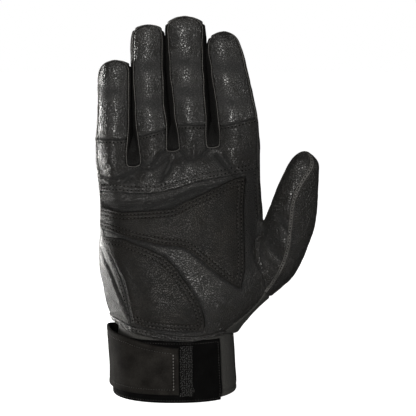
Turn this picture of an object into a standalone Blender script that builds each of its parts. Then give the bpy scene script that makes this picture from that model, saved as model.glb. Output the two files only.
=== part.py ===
"""A leather work glove for the right hand, held open as if worn, with its palm towards -Y and its fingers up."""

import math

import bpy
import numpy as np
from mathutils import Vector
from mathutils.bvhtree import BVHTree

# Sizes in the tables are millimetres. The origin is the centre of the wrist opening.
MM = 0.001
LEATHER_WALL = 1.4
SEAM_HALF_GAP = 0.24
PATCH_LIFT = 0.9
PATCH_WALL = 1.0
HEM_LIFT = 0.4
HEM_WALL = 1.0
SECTION_POWER = 2.3
FINGER_POWER = 2.35
SEAM_STEP = 0.9
CUFF_WALL = 1.6

# One row per ring of the hand, from the hem up to the finger roots. z_0 to z_3 are the heights along the front
# seam line, x_left and x_right its ends, side_* the outline, back_* the back panel's ends.
HAND_COLUMNS = (
    "z_0", "z_1", "z_2", "z_3", "x_left", "x_right", "side_left", "side_right",
    "z_side_left", "z_side_right", "y_side_left", "y_side_right", "back_left", "back_right", "z_back", "front", "back",
)
HAND_ROWS = (
    (43.6, 39.3, 38.4, 41.5, -25.0, 29.5, -37.8, 41.2, 46.6, 38.5, -10, -9, -36.9, 40.0, 43.0, 31.0, 28.0),
    (54.0, 52.0, 51.0, 50.5, -26.5, 43.5, -42.0, 50.5, 55.5, 49.0, -9, -5, -40.8, 46.5, 55.0, 31.5, 28.0),
    (66.0, 65.5, 65.5, 66.0, -28.8, 58.2, -44.4, 62.0, 67.0, 60.0, -8, 0, -42.0, 54.0, 67.0, 31.5, 27.0),
    (79.0, 79.5, 80.5, 83.0, -32.8, 53.5, -46.9, 66.0, 79.0, 75.0, -5, 0, -44.0, 53.5, 80.0, 29.5, 25.0),
    (93.0, 93.0, 94.5, 96.5, -39.8, 51.4, -47.3, 61.0, 92.0, 95.0, -2, 0, -44.2, 52.5, 94.0, 26.5, 23.0),
    (105.5, 106.0, 108.0, 112.5, -44.4, 54.2, -46.2, 56.4, 105.0, 119.0, 0, 0, -43.4, 52.5, 108.0, 23.5, 20.5),
    (117.5, 117.5, 122.0, 127.5, -44.6, 53.4, -45.9, 55.2, 118.0, 130.5, 0, 0, -43.2, 50.5, 122.0, 20.5, 18.5),
    (129.0, 128.8, 137.5, 142.0, -45.4, 53.0, -46.4, 54.6, 131.5, 141.5, 0, 0, -43.6, 50.0, 136.0, 17.8, 16.8),
)

# Roots of the four fingers, little finger first. These make the last ring of the hand.
ROOT_COLUMNS = ("left", "middle", "right", "z_left", "z_middle", "z_right", "front_corner", "front", "back")
ROOT_ROWS = (
    (-46.8, -37.6, -28.3, 146.0, 147.0, 145.2, 12.0, 15.6, 14.6),
    (-20.4, -11.6, -3.0, 146.0, 150.5, 155.2, 12.6, 16.2, 15.2),
    (4.4, 12.6, 21.6, 156.0, 157.0, 157.0, 12.8, 16.4, 15.4),
    (29.2, 41.0, 52.6, 157.5, 157.0, 157.0, 12.6, 16.2, 15.2),
)
WEB_HEIGHTS = (161.0, 168.0, 170.0)
WEB_HALF_WIDTH = 1.2
# The lines midway between neighbouring fingers, along which their sides meet.
MEETING_COLUMNS = ("z", "little_ring", "ring_middle", "middle_index")
MEETING_ROWS = (
    (145.0, -24.4, 0.7, 25.4),
    (162.0, -24.6, -0.5, 25.0),
    (171.0, -24.9, -1.2, 24.6),
    (184.0, -25.2, -2.4, 23.3),
    (198.0, -25.1, -3.4, 22.1),
    (212.0, -25.1, -3.9, 21.3),
    (226.0, -25.1, -3.9, 21.2),
)
MEETING_GAP = 0.38

# One row per ring of a finger. The first ring is the cross seam, and tilt is its rise from left to right.
FINGER_COLUMNS = ("z", "centre_x", "centre_y", "width", "depth", "tilt")
FINGERS = {
    "little": {
        "angles": (-74, 0, 58, 98, 140, 180, -146, -112),
        "rows": (
            (162.0, -37.2, -1.5, 21.2, 23.5, 0.5),
            (176.0, -36.1, -3.5, 21.0, 22.5, 0.0),
            (189.0, -35.5, -6.5, 20.8, 21.5, 0.0),
            (200.0, -35.2, -9.5, 20.2, 20.0, 0.0),
            (207.4, -34.3, -12.0, 16.8, 15.0, 0.0),
        ),
        "tip": (-33.8, -16.6, 211.0),
    },
    "ring": {
        "angles": (-58, 0, 58, 98, 140, 180, -140, -98),
        "rows": (
            (166.0, -12.4, -2.0, 20.6, 24.5, 5.0),
            (182.0, -14.0, -3.5, 20.8, 23.5, 0.0),
            (197.0, -14.5, -5.5, 20.8, 22.8, 0.0),
            (211.0, -14.8, -8.0, 20.8, 21.8, 0.0),
            (222.0, -14.6, -11.0, 20.4, 20.0, 0.0),
            (229.0, -14.2, -13.0, 17.2, 15.5, 0.0),
        ),
        "tip": (-13.6, -17.8, 232.4),
    },
    "middle": {
        "angles": (-58, 0, 58, 98, 140, 180, -140, -98),
        "rows": (
            (171.0, 11.8, -1.5, 21.2, 25.0, 0.0),
            (184.0, 10.7, -3.5, 22.4, 24.5, 0.0),
            (198.0, 9.6, -5.5, 23.4, 23.8, 0.0),
            (212.0, 8.7, -8.0, 23.8, 22.8, 0.0),
            (224.5, 8.4, -11.5, 23.4, 21.0, 0.0),
            (232.8, 8.2, -13.8, 22.2, 16.5, 0.0),
        ),
        "tip": (8.6, -18.4, 237.5),
    },
    "index": {
        "angles": (-58, 0, 74, 112, 146, 180, -140, -98),
        "rows": (
            (172.5, 40.2, -1.5, 25.2, 25.5, 5.0),
            (185.0, 38.1, -3.5, 25.2, 24.8, 0.0),
            (198.0, 35.6, -6.0, 24.2, 23.8, 0.0),
            (209.5, 33.4, -8.8, 23.0, 22.2, 0.0),
            (218.5, 31.7, -11.5, 21.0, 19.5, 0.0),
            (224.6, 31.3, -13.2, 15.4, 14.5, 0.0),
        ),
        "tip": (31.7, -14.4, 228.2),
    },
}

# The thumb from its root outwards. tilt turns the section in the palm's plane, seam is the angle of the front seam.
THUMB_COLUMNS = ("centre_x", "centre_z", "centre_y", "width", "depth", "tilt", "seam")
THUMB_ROWS = (
    (66.0, 91.5, -5.0, 40.5, 43.0, -64.0, 18.0),
    (72.0, 105.6, -11.0, 34.2, 37.0, -47.5, 10.0),
    (75.7, 118.3, -16.0, 30.2, 32.0, -34.2, 2.0),
    (77.9, 131.0, -20.0, 25.2, 27.5, -23.4, 5.0),
    (80.0, 141.4, -23.0, 20.6, 23.5, -15.5, 15.0),
    (81.6, 149.6, -25.5, 16.2, 17.0, -11.5, 33.0),
)
THUMB_ANGLES = (-92, -66, -44, -21, None, 70, 116, 156, -160, -126)
THUMB_TIP = (82.0, -27.0, 156.0)

# Broad folds and pads of the leather: ends, half width, and rise (negative for a valley).
FOLD_COLUMNS = ("x_0", "z_0", "x_1", "z_1", "half_width", "rise")
FOLD_ROWS = (
    (-46.0, 143.0, -24.0, 140.0, 4.0, -1.1),
    (-20.0, 147.0, -2.0, 153.0, 4.0, -1.2),
    (4.0, 152.0, 22.0, 152.0, 4.0, -1.4),
    (0.5, 150.0, -11.0, 135.0, 3.6, -1.1),
    (30.0, 151.0, 43.0, 139.0, 3.8, -1.2),
    (-45.0, 121.0, 36.0, 136.0, 5.0, -1.0),
    (55.0, 104.0, 53.0, 84.0, 5.0, -1.4),
    (63.0, 118.0, 76.0, 106.0, 4.5, -1.0),
    (56.0, 103.0, 67.0, 91.0, 4.5, -1.0),
    (-20.0, 88.0, 0.0, 56.0, 15.0, 1.0),
    (24.0, 76.0, 38.0, 58.0, 11.0, 1.2),
    (6.0, 100.0, 26.0, 92.0, 14.0, -1.0),
)

# Outlines of the pieces laid on the palm, as x and z of their four sides seen from the front.
PALM_PATCH = {
    "top": ((-45.0, 118.6), (-30, 117), (-15, 118.2), (0, 119.5), (6.5, 123), (18.5, 128.2), (36.5, 137), (45.2, 139)),
    "bottom": ((-44.8, 106), (-38, 104.6), (-25, 101), (-3.5, 97), (6.4, 96.4), (12, 93.4), (31, 77.6), (42.2, 70.2)),
    "left": ((-44.8, 106), (-45.0, 118.6)),
    "right": ((42.2, 70.2), (44.6, 83), (43.7, 119), (45.2, 139)),
    "across": 15,
    "up": 7,
}
HEEL_PATCH = {
    "top": ((-43.6, 101), (-31, 101), (-16, 96), (-4.5, 90.8), (2, 84.5)),
    "bottom": ((-23.4, 49.4), (-16, 46.6), (-7, 45.4), (8, 44.5), (18.6, 44.8)),
    "left": ((-23.4, 49.4), (-26, 62), (-28.6, 74), (-35, 86), (-43.6, 101)),
    "right": ((18.6, 44.8), (20.3, 48), (19.8, 54), (17.4, 62.5), (10.2, 73.6), (2, 84.5)),
    "across": 8,
    "up": 9,
}
HEM_SHARE = 0.62

# The cuff and what is wrapped round it: rows of height, left, right, front and back.
CUFF_COLUMNS = ("z", "left", "right", "front", "back")
CUFF_ROWS = (
    (0.0, -37.4, 39.8, 29.8, 26.8),
    (5.0, -37.4, 40.8, 29.6, 27.2),
    (14.0, -36.8, 40.0, 29.0, 26.8),
    (26.0, -36.4, 39.4, 28.7, 26.2),
    (37.0, -35.8, 38.6, 28.6, 25.4),
    (46.0, -34.8, 38.4, 28.6, 25.2),
)
CUFF_STEPS = 36
# Angles run from the front, positive towards the thumb. z_low and z_high are given at both ends.
WRAP_COLUMNS = (
    "start", "end", "lift", "wall", "low_start", "low_end", "high_start", "high_end", "steps", "flare",
)
# The strap's top edge: angle and height.
STRAP_TOP = ((-150.0, 37.0), (-115.0, 39.5), (-90.0, 42.6), (-45.0, 39.8), (-25.0, 37.0), (0.0, 34.2), (10.0, 33.9))
WRAPS = {
    "loop_panel": (-130.0, 44.0, 0.55, 1.3, -1.2, -1.2, 36.5, 35.0, 18, 0.0),
    "strap_tab": (-150.0, 10.0, 2.3, 2.0, 4.6, 4.4, 41.5, 34.4, 16, 3.4),
    "hook_tape": (11.2, 24.0, 2.3, 1.1, 3.6, 3.6, 35.0, 35.8, 2, 0.0),
}

MATERIALS = {
    "leather": ((0.030, 0.028, 0.027), 0.42),
    "patch_leather": ((0.022, 0.021, 0.020), 0.5),
    "knit": ((0.022, 0.022, 0.021), 0.85),
    "pile": ((0.008, 0.008, 0.008), 0.95),
    "suede": ((0.018, 0.017, 0.016), 0.9),
    "hook": ((0.016, 0.016, 0.016), 0.7),
}
REGIONS = (
    "palm_leather", "palm_upper", "finger_front_little", "finger_front_ring", "finger_front_middle",
    "finger_front_index", "gusset_little_ring", "gusset_ring_middle", "gusset_middle_index", "back_panel",
    "thumb_front", "thumb_back", "side_knit",
)
PALM, UPPER, FRONT_0, GUSSET_0, BACK, THUMB_FRONT, THUMB_BACK, SIDE = 0, 1, 2, 6, 9, 10, 11, 12


def named(columns, row):
    return dict(zip(columns, row))


def oval(angle, width, depth, power):
    """A point on a rounded section, with the angle in degrees from the front and positive to the right."""
    s = math.sin(math.radians(angle))
    c = math.cos(math.radians(angle))
    x = math.copysign(abs(s) ** (2 / power), s) * width / 2
    y = -math.copysign(abs(c) ** (2 / power), c) * depth / 2
    return x, y


def hand_ring(row, shares):
    r = named(HAND_COLUMNS, row)
    middle = (r["side_left"] + r["side_right"]) / 2
    half = (r["side_right"] - r["side_left"]) / 2

    def depth_at(x):
        return max(0.0, 1 - abs((x - middle) / half) ** SECTION_POWER) ** (1 / SECTION_POWER)

    front = []
    for share in shares:
        x = r["x_left"] + share * (r["x_right"] - r["x_left"])
        z = np.interp(share, (0, 0.37, 0.68, 1), (r["z_0"], r["z_1"], r["z_2"], r["z_3"]))
        front.append((x, -r["front"] * depth_at(x), z))
    back = []
    for share in shares:
        x = r["back_left"] + share * (r["back_right"] - r["back_left"])
        edge = r["z_side_left"] + share * (r["z_side_right"] - r["z_side_left"])
        z = r["z_back"] + (edge - r["z_back"]) * abs(2 * share - 1) ** 3
        back.append((x, r["back"] * depth_at(x), z))
    sides = []
    for side, sign in (("right", 1), ("left", -1)):
        y = r["y_side_" + side]
        reach = half * (1 - abs(y / r["front"]) ** SECTION_POWER) ** (1 / SECTION_POWER)
        sides.append((middle + sign * reach, y, r["z_side_" + side]))
    return front + [sides[0]] + back[::-1] + [sides[1]]


def root_ring():
    front, back = [], []
    for row in ROOT_ROWS:
        r = named(ROOT_COLUMNS, row)
        front.append((r["left"], -r["front_corner"], r["z_left"]))
        front.append((r["middle"], -r["front"], r["z_middle"]))
        front.append((r["right"], -r["front_corner"], r["z_right"]))
        back.append((r["left"], r["back"] - 3, r["z_left"] + 1))
        back.append((r["middle"], r["back"], r["z_middle"] + 1))
        back.append((r["right"], r["back"] - 3, r["z_right"] + 1))
    front[0] = (-46.9, -6.5, 146.0)
    front[11] = (53.0, -6.8, 157.5)
    back[0] = (-44.2, 9.5, 147.0)
    back[11] = (51.0, 9.5, 157.5)
    right = (54.6, 1.0, 157.5)
    left = (-47.9, 1.0, 146.5)
    return front + [right] + back[::-1] + [left]


def fill_gap(k, angle, x, row):
    """The side of a finger is drawn out to meet its neighbour, and the back's corner half as far."""
    side = k if angle > 0 else k - 1
    share = {98: 1.0, 140: 0.5}.get(abs(angle))
    if share is None or not 0 <= side < 3:
        return x
    heights = [r[0] for r in MEETING_ROWS]
    middle = np.interp(row["z"], heights, [r[1 + side] for r in MEETING_ROWS])
    wanted = middle - math.copysign(MEETING_GAP, angle) - row["centre_x"]
    return x + share * (wanted - math.copysign(row["width"] / 2, angle))


def build_cage():
    """Points and four-sided faces of the whole outer skin, each face with its region."""
    points, faces, regions = [], [], []

    def add_ring(ring):
        first = len(points)
        points.extend(ring)
        return list(range(first, len(points)))

    def join(low, high, pick):
        count = len(low)
        for i in range(count):
            region = pick(i)
            if region is not None:
                j = (i + 1) % count
                faces.append((low[i], low[j], high[j], high[i]))
                regions.append(region)

    roots = root_ring()
    xs = [p[0] for p in roots[:12]]
    shares = [(x - xs[0]) / (xs[-1] - xs[0]) for x in xs]
    rings = [add_ring(hand_ring(row, shares)) for row in HAND_ROWS]
    rings.append(add_ring(roots))

    for k in range(len(rings) - 1):

        def pick_hand(i, k=k):
            if i < 11:
                return UPPER if k == 7 else PALM
            if i in (11, 12):
                if k < 2:
                    return SIDE
                return None if k < 5 else BACK
            return BACK

        join(rings[k], rings[k + 1], pick_hand)

    top = rings[-1]
    webs = []
    for k, height in enumerate(WEB_HEIGHTS):
        middle = float(np.interp(height, [r[0] for r in MEETING_ROWS], [r[1 + k] for r in MEETING_ROWS]))
        webs.append(add_ring([(middle - WEB_HALF_WIDTH, 0.5, height), (middle + WEB_HALF_WIDTH, 0.5, height)]))
    for k in range(3):
        near, far = webs[k]
        front_a, front_b = top[3 * k + 2], top[3 * k + 3]
        back_a, back_b = top[24 - (3 * k + 2)], top[24 - (3 * k + 3)]
        faces.append((front_a, front_b, far, near))
        faces.append((near, far, back_b, back_a))
        regions.extend([GUSSET_0 + k] * 2)

    for k, finger in enumerate(FINGERS.values()):
        right = top[12] if k == 3 else webs[k][0]
        left = top[25] if k == 0 else webs[k - 1][1]
        ring = [top[3 * k], top[3 * k + 1], top[3 * k + 2], right]
        ring += [top[24 - (3 * k + 2)], top[24 - (3 * k + 1)], top[24 - 3 * k], left]
        sides = {
            "right": BACK if k == 3 else GUSSET_0 + k,
            "left": BACK if k == 0 else GUSSET_0 + k - 1,
        }
        for level, row in enumerate(finger["rows"]):
            r = named(FINGER_COLUMNS, row)
            section = []
            for angle in finger["angles"]:
                x, y = oval(angle, r["width"], r["depth"], FINGER_POWER)
                x = fill_gap(k, angle, x, r) if level < len(finger["rows"]) - 1 else x
                section.append((r["centre_x"] + x, r["centre_y"] + y, r["z"] + r["tilt"] * x / r["width"]))
            new = add_ring(section)

            def pick_finger(i, k=k, level=level, sides=sides):
                if i < 2:
                    return UPPER if level == 0 else FRONT_0 + k
                if i in (2, 3):
                    return sides["right"]
                return BACK if i in (4, 5) else sides["left"]

            join(ring, new, pick_finger)
            ring = new
        (tip,) = add_ring([finger["tip"]])
        for i in range(0, 8, 2):
            faces.append((ring[i], ring[i + 1], ring[(i + 2) % 8], tip))
            regions.append(FRONT_0 + k if i == 0 else BACK)

    ring = [rings[5][12], rings[5][11], rings[4][11], rings[3][11], rings[2][11], rings[2][12]]
    ring += [rings[2][13], rings[3][13], rings[4][13], rings[5][13]]
    for row in THUMB_ROWS:
        r = named(THUMB_COLUMNS, row)
        turn = math.radians(r["tilt"])
        section = []
        for angle in THUMB_ANGLES:
            x, y = oval(r["seam"] if angle is None else angle, r["width"], r["depth"], FINGER_POWER)
            section.append((
                r["centre_x"] + x * math.cos(turn),
                r["centre_y"] + y,
                r["centre_z"] + x * math.sin(turn),
            ))
        new = add_ring(section)
        join(ring, new, lambda i: THUMB_FRONT if i < 4 else THUMB_BACK)
        ring = new
    (tip,) = add_ring([THUMB_TIP])
    for i in range(0, 10, 2):
        faces.append((ring[i], ring[i + 1], ring[(i + 2) % 10], tip))
        regions.append(THUMB_FRONT if i < 4 else THUMB_BACK)

    used = sorted({v for face in faces for v in face})
    place = {v: n for n, v in enumerate(used)}
    faces = [tuple(place[v] for v in face) for face in faces]
    return np.array([points[v] for v in used], float), faces, regions


def smoothed_points(points, faces):
    """Where the smooth skin passes nearest to each cage point."""
    count = len(points)
    near = [set() for _ in range(count)]
    across = [[] for _ in range(count)]
    edge_uses = {}
    for face in faces:
        for i in range(4):
            a, b = face[i], face[(i + 1) % 4]
            near[a].add(b)
            near[b].add(a)
            across[a].append(face[(i + 2) % 4])
            key = (min(a, b), max(a, b))
            edge_uses[key] = edge_uses.get(key, 0) + 1
    rim = {}
    for (a, b), uses in edge_uses.items():
        if uses == 1:
            rim.setdefault(a, []).append(b)
            rim.setdefault(b, []).append(a)
    result = np.empty_like(points)
    for v in range(count):
        if v in rim:
            result[v] = (4 * points[v] + points[rim[v]].sum(axis=0)) / 6
        else:
            n = len(near[v])
            total = n * n * points[v] + 4 * points[sorted(near[v])].sum(axis=0) + points[across[v]].sum(axis=0)
            result[v] = total / (n * (n + 5))
    return result


def subdivide(points, faces, regions):
    """The smooth skin as a mesh of twice the cage's density, with its faces' regions."""
    cage = points.copy()
    for _ in range(4):
        cage += 0.9 * (points - smoothed_points(cage, faces))
    mesh = bpy.data.meshes.new("skin")
    mesh.from_pydata([tuple(p) for p in cage], [], faces)
    for _ in REGIONS:
        mesh.materials.append(None)
    mesh.polygons.foreach_set("material_index", regions)
    skin = bpy.data.objects.new("skin", mesh)
    bpy.context.scene.collection.objects.link(skin)
    smooth = skin.modifiers.new("smooth", "SUBSURF")
    smooth.levels = 1
    smooth.render_levels = 1
    fine = bpy.data.meshes.new_from_object(skin.evaluated_get(bpy.context.evaluated_depsgraph_get()))
    coords = np.empty(len(fine.vertices) * 3)
    fine.vertices.foreach_get("co", coords)
    quads = np.array([tuple(p.vertices) for p in fine.polygons])
    index = np.empty(len(fine.polygons), int)
    fine.polygons.foreach_get("material_index", index)
    bpy.data.objects.remove(skin)
    bpy.data.meshes.remove(mesh)
    bpy.data.meshes.remove(fine)
    return coords.reshape(-1, 3), quads, index


def vertex_normals(points, quads):
    a, b, c, d = (points[quads[:, i]] for i in range(4))
    flat = np.cross(c - a, d - b)
    total = np.zeros_like(points)
    for i in range(4):
        np.add.at(total, quads[:, i], flat)
    return total / np.linalg.norm(total, axis=1, keepdims=True)


def distance_to_line(x, z, x_0, z_0, x_1, z_1):
    dx, dz = x_1 - x_0, z_1 - z_0
    t = np.clip(((x - x_0) * dx + (z - z_0) * dz) / (dx * dx + dz * dz), 0, 1)
    return np.hypot(x - x_0 - t * dx, z - z_0 - t * dz)


def add_relief(points, quads, index):
    """Pads, folds and the step of the upper palm piece, along the skin's own direction."""
    normals = vertex_normals(points, quads)
    facing = np.clip(-normals[:, 1] * 1.6 - 0.2, 0, 1)
    rise = np.zeros(len(points))
    for row in FOLD_ROWS:
        f = named(FOLD_COLUMNS, row)
        away = distance_to_line(points[:, 0], points[:, 2], f["x_0"], f["z_0"], f["x_1"], f["z_1"])
        rise += f["rise"] * np.exp(-((away / f["half_width"]) ** 2))
    edge = set(quads[index == UPPER].ravel()) & set(quads[index == PALM].ravel())
    step = np.zeros(len(points))
    step[sorted(edge)] = SEAM_STEP
    return points + normals * ((rise + step) * facing)[:, None]


def add_node(name, points, faces, material):
    mesh = bpy.data.meshes.new(name)
    mesh.from_pydata([tuple(float(c) * MM for c in p) for p in points], [], [tuple(map(int, f)) for f in faces])
    mesh.materials.append(material)
    mesh.polygons.foreach_set("use_smooth", [True] * len(mesh.polygons))
    mesh.update()
    node = bpy.data.objects.new(name, mesh)
    bpy.context.scene.collection.objects.link(node)
    return node


def region_solid(name, points, normals, quads, wall, material):
    """One region of the skin as a walled piece, drawn back from its seams."""
    used = np.unique(quads)
    place = {v: n for n, v in enumerate(used)}
    faces = [[place[v] for v in quad] for quad in quads]
    outer = points[used].copy()
    outward = normals[used]
    edges = {}
    for face in faces:
        for i in range(4):
            edges[(face[i], face[(i + 1) % 4])] = face
    rim = [(a, b) for a, b in edges if (b, a) not in edges]
    inward = {}
    for a, b in rim:
        along = outer[b] - outer[a]
        side = np.cross(outward[a] + outward[b], along)
        side /= np.linalg.norm(side)
        for v in (a, b):
            inward.setdefault(v, []).append(side)
    moved = outer.copy()
    for v, sides in inward.items():
        total = np.sum(sides, axis=0)
        spread = 1 + float(np.dot(sides[0], sides[-1]))
        moved[v] = outer[v] + SEAM_HALF_GAP * total / max(spread, 0.5)
    inner = moved - wall * outward
    count = len(used)
    solid = [tuple(f) for f in faces]
    solid += [tuple(v + count for v in reversed(f)) for f in faces]
    solid += [(b, a, a + count, b + count) for a, b in rim]
    return add_node(name, np.vstack([moved, inner]), solid, material)


def palm_finder(points, quads):
    """A function that finds the skin's point and direction seen at x and z from the front."""
    tree = BVHTree.FromPolygons([Vector(p) for p in points], [tuple(map(int, q)) for q in quads])
    normals = vertex_normals(points, quads)

    def smooth_normal(face, spot):
        weights = np.array([1 / (1e-3 + (Vector(points[v]) - spot).length) for v in quads[face]])
        total = (normals[quads[face]] * weights[:, None]).sum(axis=0)
        return Vector(total).normalized()

    def find(x, z):
        middle = 3.0
        low, high = -97.0, 85.0
        spot, face = None, None
        for _ in range(22):
            angle = math.radians((low + high) / 2)
            ray = Vector((math.sin(angle) * 1.6, -math.cos(angle), 0)).normalized()
            hit, _, number, _ = tree.ray_cast(Vector((middle, 0, z)), ray)
            if hit is not None:
                spot, face = hit, number
            if hit is None or hit.x < x:
                low = math.degrees(angle)
            else:
                high = math.degrees(angle)
        return spot, smooth_normal(face, spot)

    return find


def along(line, share):
    """A point of a drawn line at a share of its length."""
    line = np.array(line, float)
    steps = np.linalg.norm(np.diff(line, axis=0), axis=1)
    reach = np.concatenate([[0], np.cumsum(steps)]) / steps.sum()
    return np.array([np.interp(share, reach, line[:, 0]), np.interp(share, reach, line[:, 1])])


def laid_patch(name, shape, find, material):
    """A sewn-on piece that follows the skin a little above it."""
    columns, rows = shape["across"], shape["up"]
    low, high = [], []
    top, bottom, left, right = shape["top"], shape["bottom"], shape["left"], shape["right"]
    for j in range(rows + 1):
        v = j / rows
        for i in range(columns + 1):
            u = i / columns
            flat = (1 - v) * along(bottom, u) + v * along(top, u) + (1 - u) * along(left, v) + u * along(right, v)
            flat -= (1 - u) * (1 - v) * np.array(bottom[0]) + u * (1 - v) * np.array(bottom[-1])
            flat -= (1 - u) * v * np.array(top[0]) + u * v * np.array(top[-1])
            spot, out = find(*flat)
            low.append(spot + out * PATCH_LIFT)
            high.append(spot + out * (PATCH_LIFT + PATCH_WALL))
    return grid_solid(name, low, high, columns, rows, material)


def grid_solid(name, low, high, columns, rows, material):
    """A closed sheet between two grids, the second one on the outer side."""
    count = len(low)
    wide = columns + 1
    faces, edge = [], []
    for j in range(rows):
        for i in range(columns):
            a = j * wide + i
            quad = (a, a + 1, a + 1 + wide, a + wide)
            faces.append(tuple(v + count for v in quad))
            faces.append(quad[::-1])
    edge += list(range(wide))
    edge += [j * wide + columns for j in range(1, rows + 1)]
    edge += [rows * wide + i for i in range(columns - 1, -1, -1)]
    edge += [j * wide for j in range(rows - 1, 0, -1)]
    for n, a in enumerate(edge):
        b = edge[(n + 1) % len(edge)]
        faces.append((a, b, b + count, a + count))
    return add_node(name, [tuple(p) for p in low] + [tuple(p) for p in high], faces, material)


def hem_band(name, points, quads, index, material):
    """The folded hem, on the lowest strip of the leather all round the wrist."""
    normals = vertex_normals(points, quads)
    uses, near = {}, {}
    for quad in quads:
        for i in range(4):
            a, b = int(quad[i]), int(quad[(i + 1) % 4])
            uses[(min(a, b), max(a, b))] = uses.get((min(a, b), max(a, b)), 0) + 1
            near.setdefault(a, set()).add(b)
            near.setdefault(b, set()).add(a)
    rim = {v for edge, count in uses.items() if count == 1 for v in edge}
    fabric = set(quads[index == SIDE].ravel())
    leather = [v for v in rim if v not in fabric]
    turn = {v: math.atan2(points[v][1], points[v][0]) for v in rim}
    start = max(turn[v] for v in fabric & rim)
    order = sorted(leather, key=lambda v: (turn[v] - start) % (2 * math.pi))
    low, high = [[], []], [[], []]
    for v in order:
        up = next(n for n in near[v] if n not in rim)
        for share, row in ((0.0, 0), (HEM_SHARE, 1)):
            spot = points[v] + share * (points[up] - points[v])
            out = normals[v] + share * (normals[up] - normals[v])
            low[row].append(spot + out * HEM_LIFT)
            high[row].append(spot + out * (HEM_LIFT + HEM_WALL))
    count = len(order) - 1
    return grid_solid(name, low[0] + low[1], high[0] + high[1], count, 1, material)


def cuff_point(angle, z, lift):
    """A point on the cuff's outer face at an angle and height, moved out by lift."""
    table = np.array(CUFF_ROWS)
    left, right, front, back = (np.interp(z, table[:, 0], table[:, i]) for i in range(1, 5))
    depth = front if abs(angle) < 90 else back
    x, y = oval(angle, right - left + 2 * lift, 2 * (depth + lift), SECTION_POWER)
    return (left + right) / 2 + x, y, z


def cuff_tube(name, material):
    heights = [row[0] for row in CUFF_ROWS]
    outer, inner = [], []
    for z in heights:
        for n in range(CUFF_STEPS):
            angle = -180 + 360 * n / CUFF_STEPS
            outer.append(cuff_point(angle, z, 0.0))
            inner.append(cuff_point(angle, z, -CUFF_WALL))
    count = len(outer)
    faces = []
    for j in range(len(heights) - 1):
        for n in range(CUFF_STEPS):
            a = j * CUFF_STEPS + n
            b = j * CUFF_STEPS + (n + 1) % CUFF_STEPS
            quad = (a, b, b + CUFF_STEPS, a + CUFF_STEPS)
            faces.append(quad)
            faces.append(tuple(v + count for v in reversed(quad)))
    last = (len(heights) - 1) * CUFF_STEPS
    for n in range(CUFF_STEPS):
        m = (n + 1) % CUFF_STEPS
        faces.append((m, n, n + count, m + count))
        faces.append((last + n, last + m, last + m + count, last + n + count))
    return add_node(name, outer + inner, faces, material)


def wrapped_band(name, row, material):
    """A band round the cuff, open at its ends."""
    w = named(WRAP_COLUMNS, row)
    low, high = [], []
    rows = 3
    for j in range(rows + 1):
        for i in range(w["steps"] + 1):
            u = i / w["steps"]
            angle = w["start"] + u * (w["end"] - w["start"])
            bottom = w["low_start"] + u * (w["low_end"] - w["low_start"])
            top = w["high_start"] + u * (w["high_end"] - w["high_start"])
            if name == "strap_tab":
                top = np.interp(angle, [a for a, _ in STRAP_TOP], [h for _, h in STRAP_TOP])
            z = bottom + (top - bottom) * j / rows
            lift = w["lift"] + w["flare"] * (j / rows) ** 2 * math.exp(-(((angle + 90) / 45) ** 2))
            low.append(cuff_point(angle, z, lift))
            high.append(cuff_point(angle, z, lift + w["wall"]))
    return grid_solid(name, low, high, w["steps"], rows, material)


def make_material(name):
    colour, roughness = MATERIALS[name]
    material = bpy.data.materials.new(name)
    material.use_nodes = True
    shader = material.node_tree.nodes["Principled BSDF"]
    shader.inputs["Base Color"].default_value = (*colour, 1)
    shader.inputs["Roughness"].default_value = roughness
    shader.inputs["Metallic"].default_value = 0.0
    return material


def main():
    for old in list(bpy.data.objects):
        bpy.data.objects.remove(old)
    material = {name: make_material(name) for name in MATERIALS}
    points, quads, index = subdivide(*build_cage())
    points = add_relief(points, quads, index)
    normals = vertex_normals(points, quads)
    for number, name in enumerate(REGIONS):
        kind = "knit" if number == SIDE else "leather"
        region_solid(name, points, normals, quads[index == number], LEATHER_WALL, material[kind])
    find = palm_finder(points, quads)
    laid_patch("patch_palm", PALM_PATCH, find, material["patch_leather"])
    laid_patch("patch_heel", HEEL_PATCH, find, material["patch_leather"])
    hem_band("wrist_hem", points, quads, index, material["leather"])
    cuff_tube("cuff_knit", material["knit"])
    for name, kind in (("loop_panel", "pile"), ("strap_tab", "suede"), ("hook_tape", "hook")):
        wrapped_band(name, WRAPS[name], material[kind])


main()
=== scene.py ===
import math

import bpy
import numpy as np
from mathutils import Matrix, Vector, noise
from mathutils.bvhtree import BVHTree
from mathutils.kdtree import KDTree


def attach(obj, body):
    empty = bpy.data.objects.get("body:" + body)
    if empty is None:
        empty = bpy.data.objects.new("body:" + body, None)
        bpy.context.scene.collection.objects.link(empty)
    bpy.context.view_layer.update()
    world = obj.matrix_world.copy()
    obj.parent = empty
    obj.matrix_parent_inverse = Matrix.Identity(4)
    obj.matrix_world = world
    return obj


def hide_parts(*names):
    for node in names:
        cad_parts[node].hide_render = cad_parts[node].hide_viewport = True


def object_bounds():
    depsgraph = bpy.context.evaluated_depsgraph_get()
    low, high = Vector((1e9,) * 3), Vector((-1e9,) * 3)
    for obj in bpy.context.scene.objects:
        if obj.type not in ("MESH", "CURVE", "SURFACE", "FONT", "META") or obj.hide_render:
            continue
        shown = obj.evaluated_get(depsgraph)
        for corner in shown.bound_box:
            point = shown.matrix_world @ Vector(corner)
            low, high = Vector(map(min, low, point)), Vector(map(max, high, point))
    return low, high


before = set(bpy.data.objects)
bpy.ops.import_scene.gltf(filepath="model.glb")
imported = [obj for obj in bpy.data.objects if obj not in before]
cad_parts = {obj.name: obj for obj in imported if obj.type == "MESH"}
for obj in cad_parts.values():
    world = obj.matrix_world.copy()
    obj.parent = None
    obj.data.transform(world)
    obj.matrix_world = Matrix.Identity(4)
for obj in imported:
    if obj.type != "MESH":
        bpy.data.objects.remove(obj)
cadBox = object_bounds()
mm = 0.001

# camera and studio

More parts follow.
